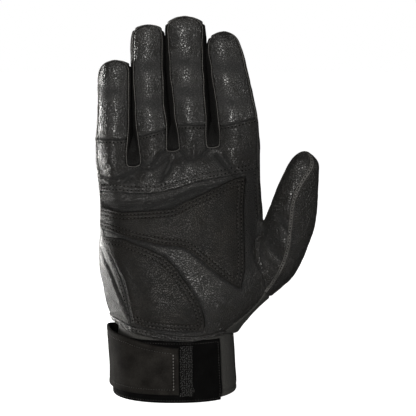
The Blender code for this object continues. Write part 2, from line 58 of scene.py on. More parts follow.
shot = {"target": (0.0222, 0.0, 0.1173), "distance": 0.75, "elevation": 8.0, "lens": 102.2, "sensor": 36.0}
studio = {
    # x, y, z, width, height, watts
    "key": (-0.16, -1.10, 0.40, 0.16, 0.40, 7.6),
    "table": (-0.09, -0.50, 0.02, 0.12, 0.16, 2.7),
    "left": (-0.85, 0.60, 0.0, 0.30, 0.4, 42.0),
    "right": (0.95, -0.45, 0.40, 0.30, 0.6, 2.5),
    "tint": (1.0, 0.985, 0.955),
    "backdrop": (0.93, 0.93, 0.93),
    "fill": 0.025,
    "aim": (0.015, 0, 0.12),
    "floorHalf": 8.0,
    "floorDrop": 0.0004,
}


def feed(tree, node, values):
    # a plain value sets an input, the output of another node is linked to it
    for key, value in values.items():
        if isinstance(value, bpy.types.NodeSocket):
            tree.links.new(value, node.inputs[key])
        else:
            node.inputs[key].default_value = value
    return node


def addNode(tree, kind, settings=None, **inputs):
    node = tree.nodes.new(kind)
    for key, value in (settings or {}).items():
        setattr(node, key, value)
    return feed(tree, node, inputs)


def setCamera():
    tilt = math.radians(shot["elevation"])
    target = Vector(shot["target"])
    ahead = Vector((0, math.cos(tilt), -math.sin(tilt)))
    camera = bpy.data.cameras.new("camera")
    camera.lens = shot["lens"]
    camera.sensor_width = shot["sensor"]
    camera.clip_start = 0.01
    holder = bpy.data.objects.new("camera", camera)
    bpy.context.scene.collection.objects.link(holder)
    holder.location = target - ahead * shot["distance"]
    holder.rotation_euler = ahead.to_track_quat("-Z", "Y").to_euler()
    bpy.context.scene.camera = holder
    bpy.context.scene.view_settings.view_transform = "Standard"


def setLights():
    for name in ("key", "table", "left", "right"):
        x, y, z, wide, high, watts = studio[name]
        lamp = bpy.data.lights.new(name, "AREA")
        lamp.shape = "RECTANGLE"
        lamp.size = wide
        lamp.size_y = high
        lamp.energy = watts
        lamp.color = studio["tint"]
        holder = bpy.data.objects.new(name, lamp)
        bpy.context.scene.collection.objects.link(holder)
        holder.location = (x, y, z)
        aim = Vector(studio["aim"]) - Vector((x, y, z))
        holder.rotation_euler = aim.to_track_quat("-Z", "Y").to_euler()
    world = bpy.data.worlds.new("studio")
    world.use_nodes = True
    bpy.context.scene.world = world
    tree = world.node_tree
    seen = addNode(tree, "ShaderNodeLightPath").outputs["Is Camera Ray"]
    level = addNode(tree, "ShaderNodeMapRange", **{"Value": seen, "To Min": studio["fill"], "To Max": 1.0})
    feed(tree, tree.nodes["Background"], {"Color": (1, 1, 1, 1), "Strength": level.outputs["Result"]})


def layFloor():
    low = cadBox[0].z - studio["floorDrop"]
    half = studio["floorHalf"]
    corners = [(x * half, y * half, low) for x, y in ((-1, -1), (1, -1), (1, 1), (-1, 1))]
    mesh = bpy.data.meshes.new("floor")
    mesh.from_pydata(corners, [], [(0, 1, 2, 3)])
    floor = bpy.data.objects.new("floor", mesh)
    bpy.context.scene.collection.objects.link(floor)
    paint = bpy.data.materials.new("paleFloor")
    paint.use_nodes = True
    feed(paint.node_tree, paint.node_tree.nodes["Principled BSDF"], {
        "Base Color": (*studio["backdrop"], 1), "Roughness": 0.9, "Specular IOR Level": 0.0,
        "Emission Color": (1, 1, 1, 1), "Emission Strength": 1.0,
    })
    mesh.materials.append(paint)
    floor.visible_glossy = False
    floor.visible_diffuse = False


def bell(away, width):
    return np.exp(-((away / width) ** 2))


setCamera()
setLights()
layFloor()
print("studio set")

# the leather skin: one smooth form for hand, fingers and thumb, in millimetres

skin = {
    "wall": 1.4,
    "sectionPower": 2.3,
    "fingerPower": 2.35,
    "overlap": 0.25,
    "seamGap": 0.10,
    "fineLevel": 5,
    "plainLevel": 4,
    "innerLevel": 3,
}

handColumns = (
    "z0", "z1", "z2", "z3", "xLeft", "xRight", "sideLeft", "sideRight",
    "zSideLeft", "zSideRight", "ySideLeft", "ySideRight", "backLeft", "backRight", "zBack", "front", "back",
)
handRows = (
    (43.6, 39.3, 38.4, 41.5, -25.0, 29.5, -37.8, 41.2, 46.6, 38.5, -10, -9, -36.9, 40.0, 43.0, 31.0, 28.0),
    (54.0, 52.0, 51.0, 50.5, -26.5, 43.5, -42.0, 50.5, 55.5, 49.0, -9, -5, -40.8, 46.5, 55.0, 31.5, 28.0),
    (66.0, 65.5, 65.5, 66.0, -28.8, 58.2, -44.4, 62.0, 67.0, 60.0, -8, 0, -42.0, 54.0, 67.0, 31.5, 27.0),
    (79.0, 79.5, 80.5, 83.0, -32.8, 53.5, -46.9, 66.0, 79.0, 75.0, -5, 0, -44.0, 53.5, 80.0, 29.5, 25.0),
    (93.0, 93.0, 94.5, 96.5, -39.8, 51.4, -47.3, 61.0, 92.0, 95.0, -2, 0, -44.2, 52.5, 94.0, 26.5, 23.0),
    (105.5, 106.0, 108.0, 112.5, -44.4, 54.2, -46.2, 56.4, 105.0, 119.0, 0, 0, -43.4, 52.5, 108.0, 23.5, 20.5),
    (117.5, 117.5, 122.0, 127.5, -44.6, 53.4, -45.9, 55.2, 118.0, 130.5, 0, 0, -43.2, 50.5, 122.0, 20.5, 18.5),
    (129.0, 128.8, 137.5, 142.0, -45.4, 53.0, -46.4, 54.6, 131.5, 141.5, 0, 0, -43.6, 50.0, 136.0, 17.8, 16.8),
)
rootColumns = ("left", "middle", "right", "zLeft", "zMiddle", "zRight", "frontCorner", "front", "back")
rootRows = (
    (-46.8, -37.6, -28.3, 146.0, 147.0, 145.2, 12.0, 15.6, 14.6),
    (-20.4, -11.6, -3.0, 146.0, 150.5, 155.2, 12.6, 16.2, 15.2),
    (4.4, 12.6, 21.6, 156.0, 157.0, 157.0, 12.8, 16.4, 15.4),
    (29.2, 41.0, 52.6, 157.5, 157.0, 157.0, 12.6, 16.2, 15.2),
)
webHeights = (166.0, 172.5, 174.0)
webHalfWidth = 0.7
# height, then the lines along which neighbouring fingers touch
meetingRows = (
    (145.0, -24.4, 0.7, 25.4),
    (162.0, -24.6, -0.5, 25.0),
    (171.0, -24.9, -1.2, 24.6),
    (184.0, -25.2, -2.4, 23.3),
    (198.0, -25.1, -3.4, 22.1),
    (212.0, -25.1, -3.9, 21.3),
    (226.0, -25.1, -3.9, 21.2),
)
fingerColumns = ("z", "centreX", "centreY", "width", "depth", "tilt")
fingers = {
    "little": {
        "angles": (-74, 0, 58, 98, 140, 180, -146, -112),
        "rows": (
            (162.0, -37.2, -1.5, 21.2, 23.5, 0.5),
            (176.0, -36.1, -3.5, 21.0, 22.5, 0.0),
            (189.0, -35.5, -6.5, 20.8, 21.5, 0.0),
            (200.0, -35.2, -9.5, 20.2, 20.0, 0.0),
            (207.4, -34.3, -12.0, 16.8, 15.0, 0.0),
        ),
        "tip": (-33.8, -16.6, 211.0),
    },
    "ring": {
        "angles": (-58, 0, 58, 98, 140, 180, -140, -98),
        "rows": (
            (166.0, -12.4, -2.0, 20.6, 24.5, 5.0),
            (182.0, -14.0, -3.5, 20.8, 23.5, 0.0),
            (197.0, -14.5, -5.5, 20.8, 22.8, 0.0),
            (211.0, -14.8, -8.0, 20.8, 21.8, 0.0),
            (222.0, -14.6, -11.0, 20.4, 20.0, 0.0),
            (229.0, -14.2, -13.0, 17.2, 15.5, 0.0),
        ),
        "tip": (-13.6, -17.8, 232.4),
    },
    "middle": {
        "angles": (-58, 0, 58, 98, 140, 180, -140, -98),
        "rows": (
            (171.0, 11.8, -1.5, 21.2, 25.0, 0.0),
            (184.0, 10.7, -3.5, 22.4, 24.5, 0.0),
            (198.0, 9.6, -5.5, 23.4, 23.8, 0.0),
            (212.0, 8.7, -8.0, 23.8, 22.8, 0.0),
            (224.5, 8.4, -11.5, 23.4, 21.0, 0.0),
            (232.8, 8.2, -13.8, 22.2, 16.5, 0.0),
        ),
        "tip": (8.6, -18.4, 237.5),
    },
    "index": {
        "angles": (-58, 0, 74, 112, 146, 180, -140, -98),
        "rows": (
            (172.5, 40.2, -1.5, 25.2, 25.5, 5.0),
            (185.0, 38.1, -3.5, 25.2, 24.8, 0.0),
            (198.0, 35.6, -6.0, 24.2, 23.8, 0.0),
            (209.5, 33.4, -8.8, 23.0, 22.2, 0.0),
            (218.5, 31.7, -11.5, 21.0, 19.5, 0.0),
            (224.6, 31.3, -13.2, 15.4, 14.5, 0.0),
        ),
        "tip": (31.7, -14.4, 228.2),
    },
}
thumbColumns = ("centreX", "centreZ", "centreY", "width", "depth", "tilt", "seam")
thumbRows = (
    (66.0, 91.5, -5.0, 40.5, 43.0, -64.0, 14.0),
    (72.0, 105.6, -11.0, 34.2, 37.0, -47.5, 1.0),
    (75.7, 118.3, -16.0, 30.2, 32.0, -34.2, -10.0),
    (77.9, 131.0, -20.0, 25.2, 27.5, -23.4, -9.0),
    (80.0, 141.4, -23.0, 20.6, 23.5, -15.5, 3.0),
    (81.6, 149.6, -25.5, 16.2, 17.0, -11.5, 24.0),
)
thumbAngles = (-92, -70, -50, -31, None, 66, 114, 156, -160, -126)
thumbTip = (82.0, -27.0, 156.0)

regionNames = (
    "palm_leather", "palm_upper", "finger_front_little", "finger_front_ring", "finger_front_middle",
    "finger_front_index", "gusset_little_ring", "gusset_ring_middle", "gusset_middle_index", "back_panel",
    "thumb_front", "thumb_back", "side_knit",
)
palm, upper, frontFirst, gussetFirst, backPanel, thumbFront, thumbBack, sideKnit = 0, 1, 2, 6, 9, 10, 11, 12
fineRegions = (palm, upper, 2, 3, 4, 5)


def named(columns, row):
    return dict(zip(columns, row))


def oval(angle, width, depth, power):
    s = math.sin(math.radians(angle))
    c = math.cos(math.radians(angle))
    x = math.copysign(abs(s) ** (2 / power), s) * width / 2
    y = -math.copysign(abs(c) ** (2 / power), c) * depth / 2
    return x, y


def handRing(row, shares):
    r = named(handColumns, row)
    power = skin["sectionPower"]
    middle = (r["sideLeft"] + r["sideRight"]) / 2
    half = (r["sideRight"] - r["sideLeft"]) / 2

    def depthAt(x):
        return max(0.0, 1 - abs((x - middle) / half) ** power) ** (1 / power)

    front, back, sides = [], [], []
    for share in shares:
        x = r["xLeft"] + share * (r["xRight"] - r["xLeft"])
        z = np.interp(share, (0, 0.37, 0.68, 1), (r["z0"], r["z1"], r["z2"], r["z3"]))
        front.append((x, -r["front"] * depthAt(x), z))
        x = r["backLeft"] + share * (r["backRight"] - r["backLeft"])
        edge = r["zSideLeft"] + share * (r["zSideRight"] - r["zSideLeft"])
        z = r["zBack"] + (edge - r["zBack"]) * abs(2 * share - 1) ** 3
        back.append((x, r["back"] * depthAt(x), z))
    for side, sign in (("Right", 1), ("Left", -1)):
        y = r["ySide" + side]
        reach = half * (1 - abs(y / r["front"]) ** power) ** (1 / power)
        sides.append((middle + sign * reach, y, r["zSide" + side]))
    return front + [sides[0]] + back[::-1] + [sides[1]]


def rootRing():
    front, back = [], []
    for row in rootRows:
        r = named(rootColumns, row)
        front.append((r["left"], -r["frontCorner"], r["zLeft"]))
        front.append((r["middle"], -r["front"], r["zMiddle"]))
        front.append((r["right"], -r["frontCorner"], r["zRight"]))
        back.append((r["left"], r["back"] - 3, r["zLeft"] + 1))
        back.append((r["middle"], r["back"], r["zMiddle"] + 1))
        back.append((r["right"], r["back"] - 3, r["zRight"] + 1))
    front[0] = (-46.9, -6.5, 146.0)
    front[11] = (53.0, -6.8, 157.5)
    back[0] = (-44.2, 9.5, 147.0)
    back[11] = (51.0, 9.5, 157.5)
    return front + [(54.6, 1.0, 157.5)] + back[::-1] + [(-47.9, 1.0, 146.5)]


def fillGap(k, angle, x, row):
    side = k if angle > 0 else k - 1
    share = {98: 1.0, 140: 0.5}.get(abs(angle))
    if share is None or not 0 <= side < 3:
        return x
    middle = np.interp(row["z"], [r[0] for r in meetingRows], [r[1 + side] for r in meetingRows])
    wanted = middle + math.copysign(skin["overlap"], angle) - row["centreX"]
    return x + share * (wanted - math.copysign(row["width"] / 2, angle))


def buildCage():
    points, faces, regions = [], [], []

    def addRing(ring):
        first = len(points)
        points.extend(ring)
        return list(range(first, len(points)))

    def join(low, high, pick):
        for i in range(len(low)):
            region = pick(i)
            if region is not None:
                j = (i + 1) % len(low)
                faces.append((low[i], low[j], high[j], high[i]))
                regions.append(region)

    def pickHand(i, k):
        if i < 11:
            return upper if k == 7 else palm
        if i in (11, 12):
            if k < 2:
                return sideKnit
            return None if k < 5 else backPanel
        return backPanel

    roots = rootRing()
    xs = [p[0] for p in roots[:12]]
    shares = [(x - xs[0]) / (xs[-1] - xs[0]) for x in xs]
    rings = [addRing(handRing(row, shares)) for row in handRows]
    rings.append(addRing(roots))
    for k in range(len(rings) - 1):
        join(rings[k], rings[k + 1], lambda i, k=k: pickHand(i, k))

    top = rings[-1]
    webs = []
    for k, height in enumerate(webHeights):
        middle = float(np.interp(height, [r[0] for r in meetingRows], [r[1 + k] for r in meetingRows]))
        webs.append(addRing([(middle - webHalfWidth, 0.5, height), (middle + webHalfWidth, 0.5, height)]))
    for k in range(3):
        near, far = webs[k]
        faces.append((top[3 * k + 2], top[3 * k + 3], far, near))
        faces.append((near, far, top[24 - (3 * k + 3)], top[24 - (3 * k + 2)]))
        regions.extend([gussetFirst + k] * 2)

    for k, finger in enumerate(fingers.values()):
        right = top[12] if k == 3 else webs[k][0]
        left = top[25] if k == 0 else webs[k - 1][1]
        ring = [top[3 * k], top[3 * k + 1], top[3 * k + 2], right]
        ring += [top[24 - (3 * k + 2)], top[24 - (3 * k + 1)], top[24 - 3 * k], left]
        sideRight = backPanel if k == 3 else gussetFirst + k
        sideLeft = backPanel if k == 0 else gussetFirst + k - 1
        for level, row in enumerate(finger["rows"]):
            r = named(fingerColumns, row)
            section = []
            for angle in finger["angles"]:
                x, y = oval(angle, r["width"], r["depth"], skin["fingerPower"])
                x = fillGap(k, angle, x, r) if level < len(finger["rows"]) - 1 else x
                section.append((r["centreX"] + x, r["centreY"] + y, r["z"] + r["tilt"] * x / r["width"]))
            new = addRing(section)
            front = upper if level == 0 else frontFirst + k
            around = [region for region in (front, sideRight, backPanel, sideLeft) for _ in range(2)]
            join(ring, new, lambda i, around=around: around[i])
            ring = new
        (tip,) = addRing([finger["tip"]])
        for i in range(0, 8, 2):
            faces.append((ring[i], ring[i + 1], ring[(i + 2) % 8], tip))
            regions.append(frontFirst + k if i == 0 else backPanel)

    ring = [rings[5][12], rings[5][11], rings[4][11], rings[3][11], rings[2][11], rings[2][12]]
    ring += [rings[2][13], rings[3][13], rings[4][13], rings[5][13]]
    for row in thumbRows:
        r = named(thumbColumns, row)
        turn = math.radians(r["tilt"])
        section = []
        for angle in thumbAngles:
            x, y = oval(r["seam"] if angle is None else angle, r["width"], r["depth"], skin["fingerPower"])
            section.append((
                r["centreX"] + x * math.cos(turn),
                r["centreY"] + y,
                r["centreZ"] + x * math.sin(turn),
            ))
        new = addRing(section)
        join(ring, new, lambda i: thumbFront if i < 4 else thumbBack)
        ring = new
    (tip,) = addRing([thumbTip])
    for i in range(0, 10, 2):
        faces.append((ring[i], ring[i + 1], ring[(i + 2) % 10], tip))
        regions.append(thumbFront if i < 4 else thumbBack)

    used = sorted({v for face in faces for v in face})
    place = {v: n for n, v in enumerate(used)}
    faces = [tuple(place[v] for v in face) for face in faces]
    return np.array([points[v] for v in used], float), faces, regions


def limitPoints(points, faces):
    # where the smooth skin passes nearest to each cage point
    near = [set() for _ in range(len(points))]
    across = [[] for _ in range(len(points))]
    uses = {}
    for face in faces:
        for i in range(4):
            a, b = face[i], face[(i + 1) % 4]
            near[a].add(b)
            near[b].add(a)
            across[a].append(face[(i + 2) % 4])
            key = (min(a, b), max(a, b))
            uses[key] = uses.get(key, 0) + 1
    rim = {}
    for (a, b), count in uses.items():
        if count == 1:
            rim.setdefault(a, []).append(b)
            rim.setdefault(b, []).append(a)
    result = np.empty_like(points)
    for v in range(len(points)):
        if v in rim:
            result[v] = (4 * points[v] + points[rim[v]].sum(axis=0)) / 6
        else:
            n = len(near[v])
            beside = 4 * points[sorted(near[v])].sum(axis=0)
            result[v] = (n * n * points[v] + beside + points[across[v]].sum(axis=0)) / (n * (n + 5))
    return result


def smoothSkin(cage, faces, regions, level):
    mesh = bpy.data.meshes.new("skin")
    mesh.from_pydata([tuple(p) for p in cage], [], faces)
    for _ in regionNames:
        mesh.materials.append(None)
    mesh.polygons.foreach_set("material_index", regions)
    holder = bpy.data.objects.new("skin", mesh)
    bpy.context.scene.collection.objects.link(holder)
    smooth = holder.modifiers.new("smooth", "SUBSURF")
    smooth.levels = level
    smooth.render_levels = level
    fine = bpy.data.meshes.new_from_object(holder.evaluated_get(bpy.context.evaluated_depsgraph_get()))
    coords = np.empty(len(fine.vertices) * 3)
    fine.vertices.foreach_get("co", coords)
    corners = np.empty(len(fine.loops), int)
    fine.loops.foreach_get("vertex_index", corners)
    index = np.empty(len(fine.polygons), int)
    fine.polygons.foreach_get("material_index", index)
    bpy.data.objects.remove(holder)
    bpy.data.meshes.remove(mesh)
    bpy.data.meshes.remove(fine)
    return coords.reshape(-1, 3), corners.reshape(-1, 4), index


def vertexNormals(points, quads):
    a, b, c, d = (points[quads[:, i]] for i in range(4))
    flat = np.cross(c - a, d - b)
    total = np.zeros_like(points)
    for i in range(4):
        for axis in range(3):
            total[:, axis] += np.bincount(quads[:, i], flat[:, axis], len(points))
    return total / np.linalg.norm(total, axis=1, keepdims=True)


def lineDistance(x, z, line):
    best = np.full(len(x), 1e9)
    for (x0, z0), (x1, z1) in zip(line, line[1:]):
        dx, dz = x1 - x0, z1 - z0
        t = np.clip(((x - x0) * dx + (z - z0) * dz) / (dx * dx + dz * dz), 0, 1)
        best = np.minimum(best, np.hypot(x - x0 - t * dx, z - z0 - t * dz))
    return best


def nearLine(points, line, half):
    # 1 on a line seen from the front, falling off over its half width
    return bell(lineDistance(points[:, 0], points[:, 2], line), half)


def swellAt(points, size, shift=(0, 0, 0)):
    # soft random unevenness between -1 and 1
    shift = Vector(shift)
    return np.array([noise.noise(Vector(p) / size + shift) for p in points])


# broad folds and pads: line seen from the front, half width, rise
pads = (
    (((-46, 143), (-24, 140)), 4.0, -1.1),
    (((-20, 147), (-2, 153)), 4.0, -1.2),
    (((4, 152), (22, 152)), 4.0, -1.4),
    (((0.5, 150), (-11, 135)), 3.6, -1.1),
    (((30, 151), (43, 139)), 3.8, -1.2),
    (((-45, 121), (36, 136)), 5.0, -1.0),
    (((55, 104), (53, 84)), 5.0, -1.4),
    (((63, 118), (76, 106)), 4.5, -1.0),
    (((56, 103), (67, 91)), 4.5, -1.0),
    (((-20, 88), (0, 56)), 15.0, 1.0),
    (((24, 76), (38, 58)), 11.0, 1.2),
    (((6, 100), (26, 92)), 14.0, -1.0),
)
# sharp creases and small bulges: line, half width, rise
creases = (
    (((-47.4, 138.4), (-37.8, 137.0), (-30.4, 138.9), (-24.3, 142.6)), 1.1, -0.9),
    (((-47.4, 134.1), (-38.9, 133.3), (-31.4, 134.8), (-25.5, 138.2)), 1.0, -0.6),
    (((-46, 136), (-38, 135.2), (-31, 137)), 1.2, 0.35),
    (((-19.4, 145.3), (-15.7, 145.0), (-11.1, 147.9), (-6.4, 153.6), (-2.8, 155.6)), 1.0, -1.0),
    (((-17.5, 148.5), (-13, 150.5), (-9, 155)), 2.2, 0.8),
    (((-22.4, 143.8), (-11.6, 144.1), (-4.4, 148.9), (-0.2, 152.6)), 1.1, -0.7),
    (((0.5, 153.1), (-2.3, 145.4), (-6.4, 137.2)), 1.2, -1.1),
    (((0.8, 152.6), (-0.2, 146.9), (-3.9, 139.3)), 0.9, -0.6),
    (((4.9, 155.6), (8.0, 151.0), (13.1, 149.6), (19.3, 152.6), (22.4, 155.6)), 1.1, -1.1),
    (((13.7, 158.7), (13.7, 152.3)), 1.6, 0.8),
    (((27.0, 152.6), (31.7, 146.7), (36.9, 141.5), (40.8, 138.3)), 1.1, -1.0),
    (((31.6, 152.6), (36.9, 145.1), (43.4, 139.4)), 1.0, -0.7),
    (((-16.7, 120.9), (0.8, 126.1), (13.1, 131.1), (31.7, 133.9), (46.5, 136.5)), 1.2, -1.3),
    (((-13.6, 117.7), (1.8, 122.7), (14.2, 127.1), (29.6, 131.5), (46.5, 135.9)), 1.0, -1.1),
    (((-43.1, 119.6), (-33.8, 119.4), (-24.9, 121.1), (-13.6, 123.6)), 1.0, -1.1),
    (((-46, 122.6), (-30, 122.2), (-18, 123.0)), 0.9, 0.6),
    (((-43.8, 116.5), (-32.5, 116.4), (-19.9, 118.8), (-7.4, 122.6)), 0.9, -0.5),
    (((-30, 122.2), (-14, 121.4), (-4, 124.2)), 1.1, 0.6),
    (((56.4, 106.4), (52.7, 100.0), (51.5, 93.3), (53.5, 86.1), (55.7, 81.9)), 1.6, -1.6),
    (((56.0, 101.3), (61.7, 93.5), (69.3, 87.0)), 1.3, -0.9),
    (((63.7, 116.0), (69.1, 109.6), (75.5, 103.2)), 1.2, -0.9),
    (((54.1, 92.9), (58.6, 86.9), (64.0, 81.3)), 1.0, -0.4),
    (((-45.7, 91.6), (-42.5, 84.9), (-38.5, 78.1), (-32.0, 63.6), (-27.5, 53.2)), 0.8, -0.9),
    (((-1.1, 209.6), (21.0, 209.6)), 5.0, -0.5),
    (((0.7, 191.3), (21.0, 191.3)), 5.0, -0.6),
    (((-23.8, 207.1), (-4.8, 207.1)), 4.5, -0.4),
    (((-23.3, 183.9), (-3.6, 183.9)), 4.5, -0.5),
    (((22.2, 205.9), (44.3, 207.1)), 4.5, -0.5),
    (((24.0, 183.9), (49.9, 186.4)), 4.5, -0.45),
    (((-44.2, 191.3), (-25.7, 191.3)), 4.0, -0.35),
)


# painted shade: leather darkened and made duller where it lies low between folds and beside the patch edges: line,
# half width, share
paintedShadeLines = (
    (((-46, 120), (-30, 120), (-14, 121.5), (4, 126), (22, 131.5), (44, 137.5)), 3.6, 0.7),
    (
        ((-45, 119.2), (-30, 117.6), (-15, 118.8), (0, 120.1), (6.3, 123.6), (18.3, 128.8), (36.3, 137.6)),
        1.2, 0.95,
    ),
    (
        ((-45, 105.4), (-38, 104), (-25, 100.4), (-3.5, 96.4), (6.2, 95.8), (11.6, 92.9), (30.6, 77), (41.8, 69.6)),
        1.2, 0.9,
    ),
    (((42.8, 69.8), (45.2, 83), (44.3, 119), (45.8, 139)), 1.2, 0.9),
    (
        ((-31, 101.6), (-15.8, 96.6), (-4.2, 91.3), (2.5, 84.9), (10.8, 73.9), (18, 62.7), (20.4, 54), (20.9, 48)),
        1.2, 0.9,
    ),
    (((-23.4, 48.8), (-16, 46), (-7, 44.8), (8, 43.9), (18.6, 44.2)), 1.1, 0.8),
    (((-46, 116.5), (-20, 117), (2, 121)), 2.5, 0.6),
    (((-47, 133), (-36, 132.5)), 2.5, 0.4),
    (((-20, 145), (-8, 149), (-2, 155)), 2.5, 0.5),
    (((4, 153), (13, 149), (22, 154)), 2.5, 0.5),
    (((28, 150), (42, 138.5)), 2.4, 0.55),
    (((0, 150), (-8, 137)), 2.5, 0.5),
    (((49, 141), (49, 120), (50, 100), (48, 84)), 4.5, 0.8),
    (((55, 106), (52, 96), (54, 84)), 3.0, 0.8),
    (((64, 117), (76, 104)), 2.4, 0.5),
)


def facing(normals):
    return np.clip(-normals[:, 1] * 1.6 - 0.2, 0, 1)


def broadRise(points, normals):
    rise = np.zeros(len(points))
    for line, half, height in pads:
        rise += height * nearLine(points, line, half)
    return rise * facing(normals)


def fineRise(points, normals):
    rise = np.zeros(len(points))
    for line, half, height in creases:
        rise += 1.3 * height * nearLine(points, line, half)
    swell = 0.34 * swellAt(points, 9.0) + 0.13 * swellAt(points, 3.4, (7, 3, 1))
    return rise * facing(normals) + swell


def paintedFoldShade(points, rise):
    # painted shade for each point, from 0 to 1: deeper creases take more, and so do points near the painted shade
    # lines
    shade = np.clip(-rise / 0.75, 0, 0.9)
    for line, half, share in paintedShadeLines:
        shade = np.maximum(shade, share * nearLine(points, line, half))
    return shade


def distanceTo(points, targets):
    tree = KDTree(len(targets))
    for n, p in enumerate(targets):
        tree.insert(p, n)
    tree.balance()
    return np.array([tree.find(p)[2] for p in points])


def regionEdges(quads):
    # directed outer edges of a set of quads, as start -> end
    size = int(quads.max()) + 1
    start = quads.ravel()
    end = np.roll(quads, -1, axis=1).ravel()
    forward = start.astype(np.int64) * size + end
    backward = end.astype(np.int64) * size + start
    loose = ~np.isin(forward, backward)
    return np.stack([start[loose], end[loose]], axis=1)


def chainsOf(edges):
    # joins directed edges into runs of vertices
    following = {}
    for a, b in edges.tolist():
        following.setdefault(a, []).append(b)
    ends = {b for _, b in edges.tolist()}
    runs = []
    starts = [a for a in following if a not in ends]
    while following:
        a = starts.pop() if starts else min(following)
        if a not in following:
            continue
        run = [a]
        while a in following:
            b = following[a].pop()
            if not following[a]:
                del following[a]
            run.append(b)
            a = b
        runs.append(run)
    return runs


class Skin:
    # one density of the skin, at rest and after its relief
    def __init__(self, cage, faces, regions, level):
        self.rest, self.quads, self.index = smoothSkin(cage, faces, regions, level)
        self.normals = vertexNormals(self.rest, self.quads)
        self.broad = self.rest + self.normals * broadRise(self.rest, self.normals)[:, None]

        self.edges = {n: regionEdges(self.region(n)) for n in range(len(regionNames))}
        owner = {tuple(edge): n for n, edges in self.edges.items() for edge in edges.tolist()}
        self.seams = {}
        for (a, b), n in owner.items():
            other = owner.get((b, a))
            if other is not None:
                self.seams.setdefault((n, other), []).append((a, b))

    def region(self, number):
        return self.quads[self.index == number]

    def seamVertices(self, number, others):
        return sorted({v for other in others for edge in self.seams.get((number, other), []) for v in edge})


cage, cageFaces, cageRegions = buildCage()
corrected = cage.copy()
for _ in range(4):
    corrected += 0.9 * (cage - limitPoints(corrected, cageFaces))
skins = {level: Skin(corrected, cageFaces, cageRegions, level) for level in (3, 4, 5)}
print("skin laid out:", {level: len(s.quads) for level, s in skins.items()})


def grooved(away, depth, width, puff=0.16):
    return -depth * bell(away, width) + puff * bell(away - 1.9 * width, 1.3 * width)


fronts = (2, 3, 4, 5)
gussets = (6, 7, 8)
seams = {
    "depth": 0.75,
    "width": 0.75,
    # pairs whose leather runs on with hardly a seam
    "faint": {(palm, thumbFront): 0.15, (palm, thumbBack): 0.4, (backPanel, thumbBack): 0.3},
    "step": 1.0,
}
stitchKinds = {
    "wide": {"pitch": 2.35, "length": 1.35, "thickness": 0.45, "groove": 0.42, "spread": 0.5, "hole": 1.1},
    "fine": {"pitch": 1.65, "length": 1.0, "thickness": 0.3, "groove": 0.16, "spread": 0.35, "hole": 0.55},
    "bright": {"pitch": 1.9, "length": 1.35, "thickness": 0.6, "groove": 0.10, "spread": 0.4, "hole": 0.4},
}
# rows of stitches beside a seam: piece, neighbours across the seam, distances from it, kind
seamRows = (
    (upper, (palm,), (1.7, 4.2), "wide"),
    (upper, fronts, (1.9,), "wide"),
    (upper, gussets, (1.0,), "fine"),
    (palm, (backPanel,), (1.7,), "wide"),
    (backPanel, (palm,), (1.9,), "wide"),
    (thumbBack, (thumbFront,), (2.6,), "fine"),
) + tuple((front, gussets + (backPanel,), (1.0,), "fine") for front in fronts)


# the seam where the upper leather laps over the palm: height, distance from the seam, width
lappedSeam = {
    (upper, palm): ((seams["step"], 0.0, 6.0), (-0.35, 0.0, 0.5)),
    (palm, upper): ((-0.5, 0.0, 1.3), (0.3, 4.0, 2.5)),
}


def levelLines(points, normals, quads, field, value):
    # runs of points and outward directions where the field takes the value
    high = field > value
    mixed = quads[high[quads].sum(axis=1) % 4 != 0]
    crossing, links = {}, {}
    for quad in mixed.tolist():
        cut = []
        for a, b in zip(quad, quad[1:] + quad[:1]):
            if high[a] != high[b]:
                key = (min(a, b), max(a, b))
                if key not in crossing:
                    t = (value - field[a]) / (field[b] - field[a])
                    crossing[key] = tuple(own[a] + t * (own[b] - own[a]) for own in (points, normals))
                cut.append(key)
        for first, second in zip(cut[::2], cut[1::2]):
            links.setdefault(first, []).append(second)
            links.setdefault(second, []).append(first)
    runs = []
    starts = [key for key, near in links.items() if len(near) == 1] + list(links)
    for start in starts:
        if not links[start]:
            continue
        run = [start]
        while links[run[-1]]:
            following = links[run[-1]].pop()
            links[following].remove(run[-1])
            run.append(following)
        runs.append((np.array([crossing[k][0] for k in run]), np.array([crossing[k][1] for k in run])))
    return runs


def spaced(line, normals, pitch):
    # points at an even pitch along a run, with its direction and outward side
    steps = np.linalg.norm(np.diff(line, axis=0), axis=1)
    reach = np.concatenate([[0], np.cumsum(steps)])
    count = int(reach[-1] / pitch)
    if count < 2:
        return None
    at = (np.arange(count) + 0.5) * reach[-1] / count

    def read(values, where):
        return np.stack([np.interp(where, reach, values[:, i]) for i in range(3)], axis=1)

    spots = read(line, at)
    runs = read(line, at + 0.4 * pitch) - read(line, at - 0.4 * pitch)
    outs = read(normals, at)
    runs /= np.linalg.norm(runs, axis=1, keepdims=True)
    outs /= np.linalg.norm(outs, axis=1, keepdims=True)
    return spots, runs, outs


stitched = {}


def addStitches(group, kind, line, normals, sink=0.0):
    made = spaced(line, normals, stitchKinds[kind]["pitch"])
    if made is not None:
        spots, runs, outs = made
        stitched.setdefault((group, kind), []).append((spots - outs * sink, runs, outs))


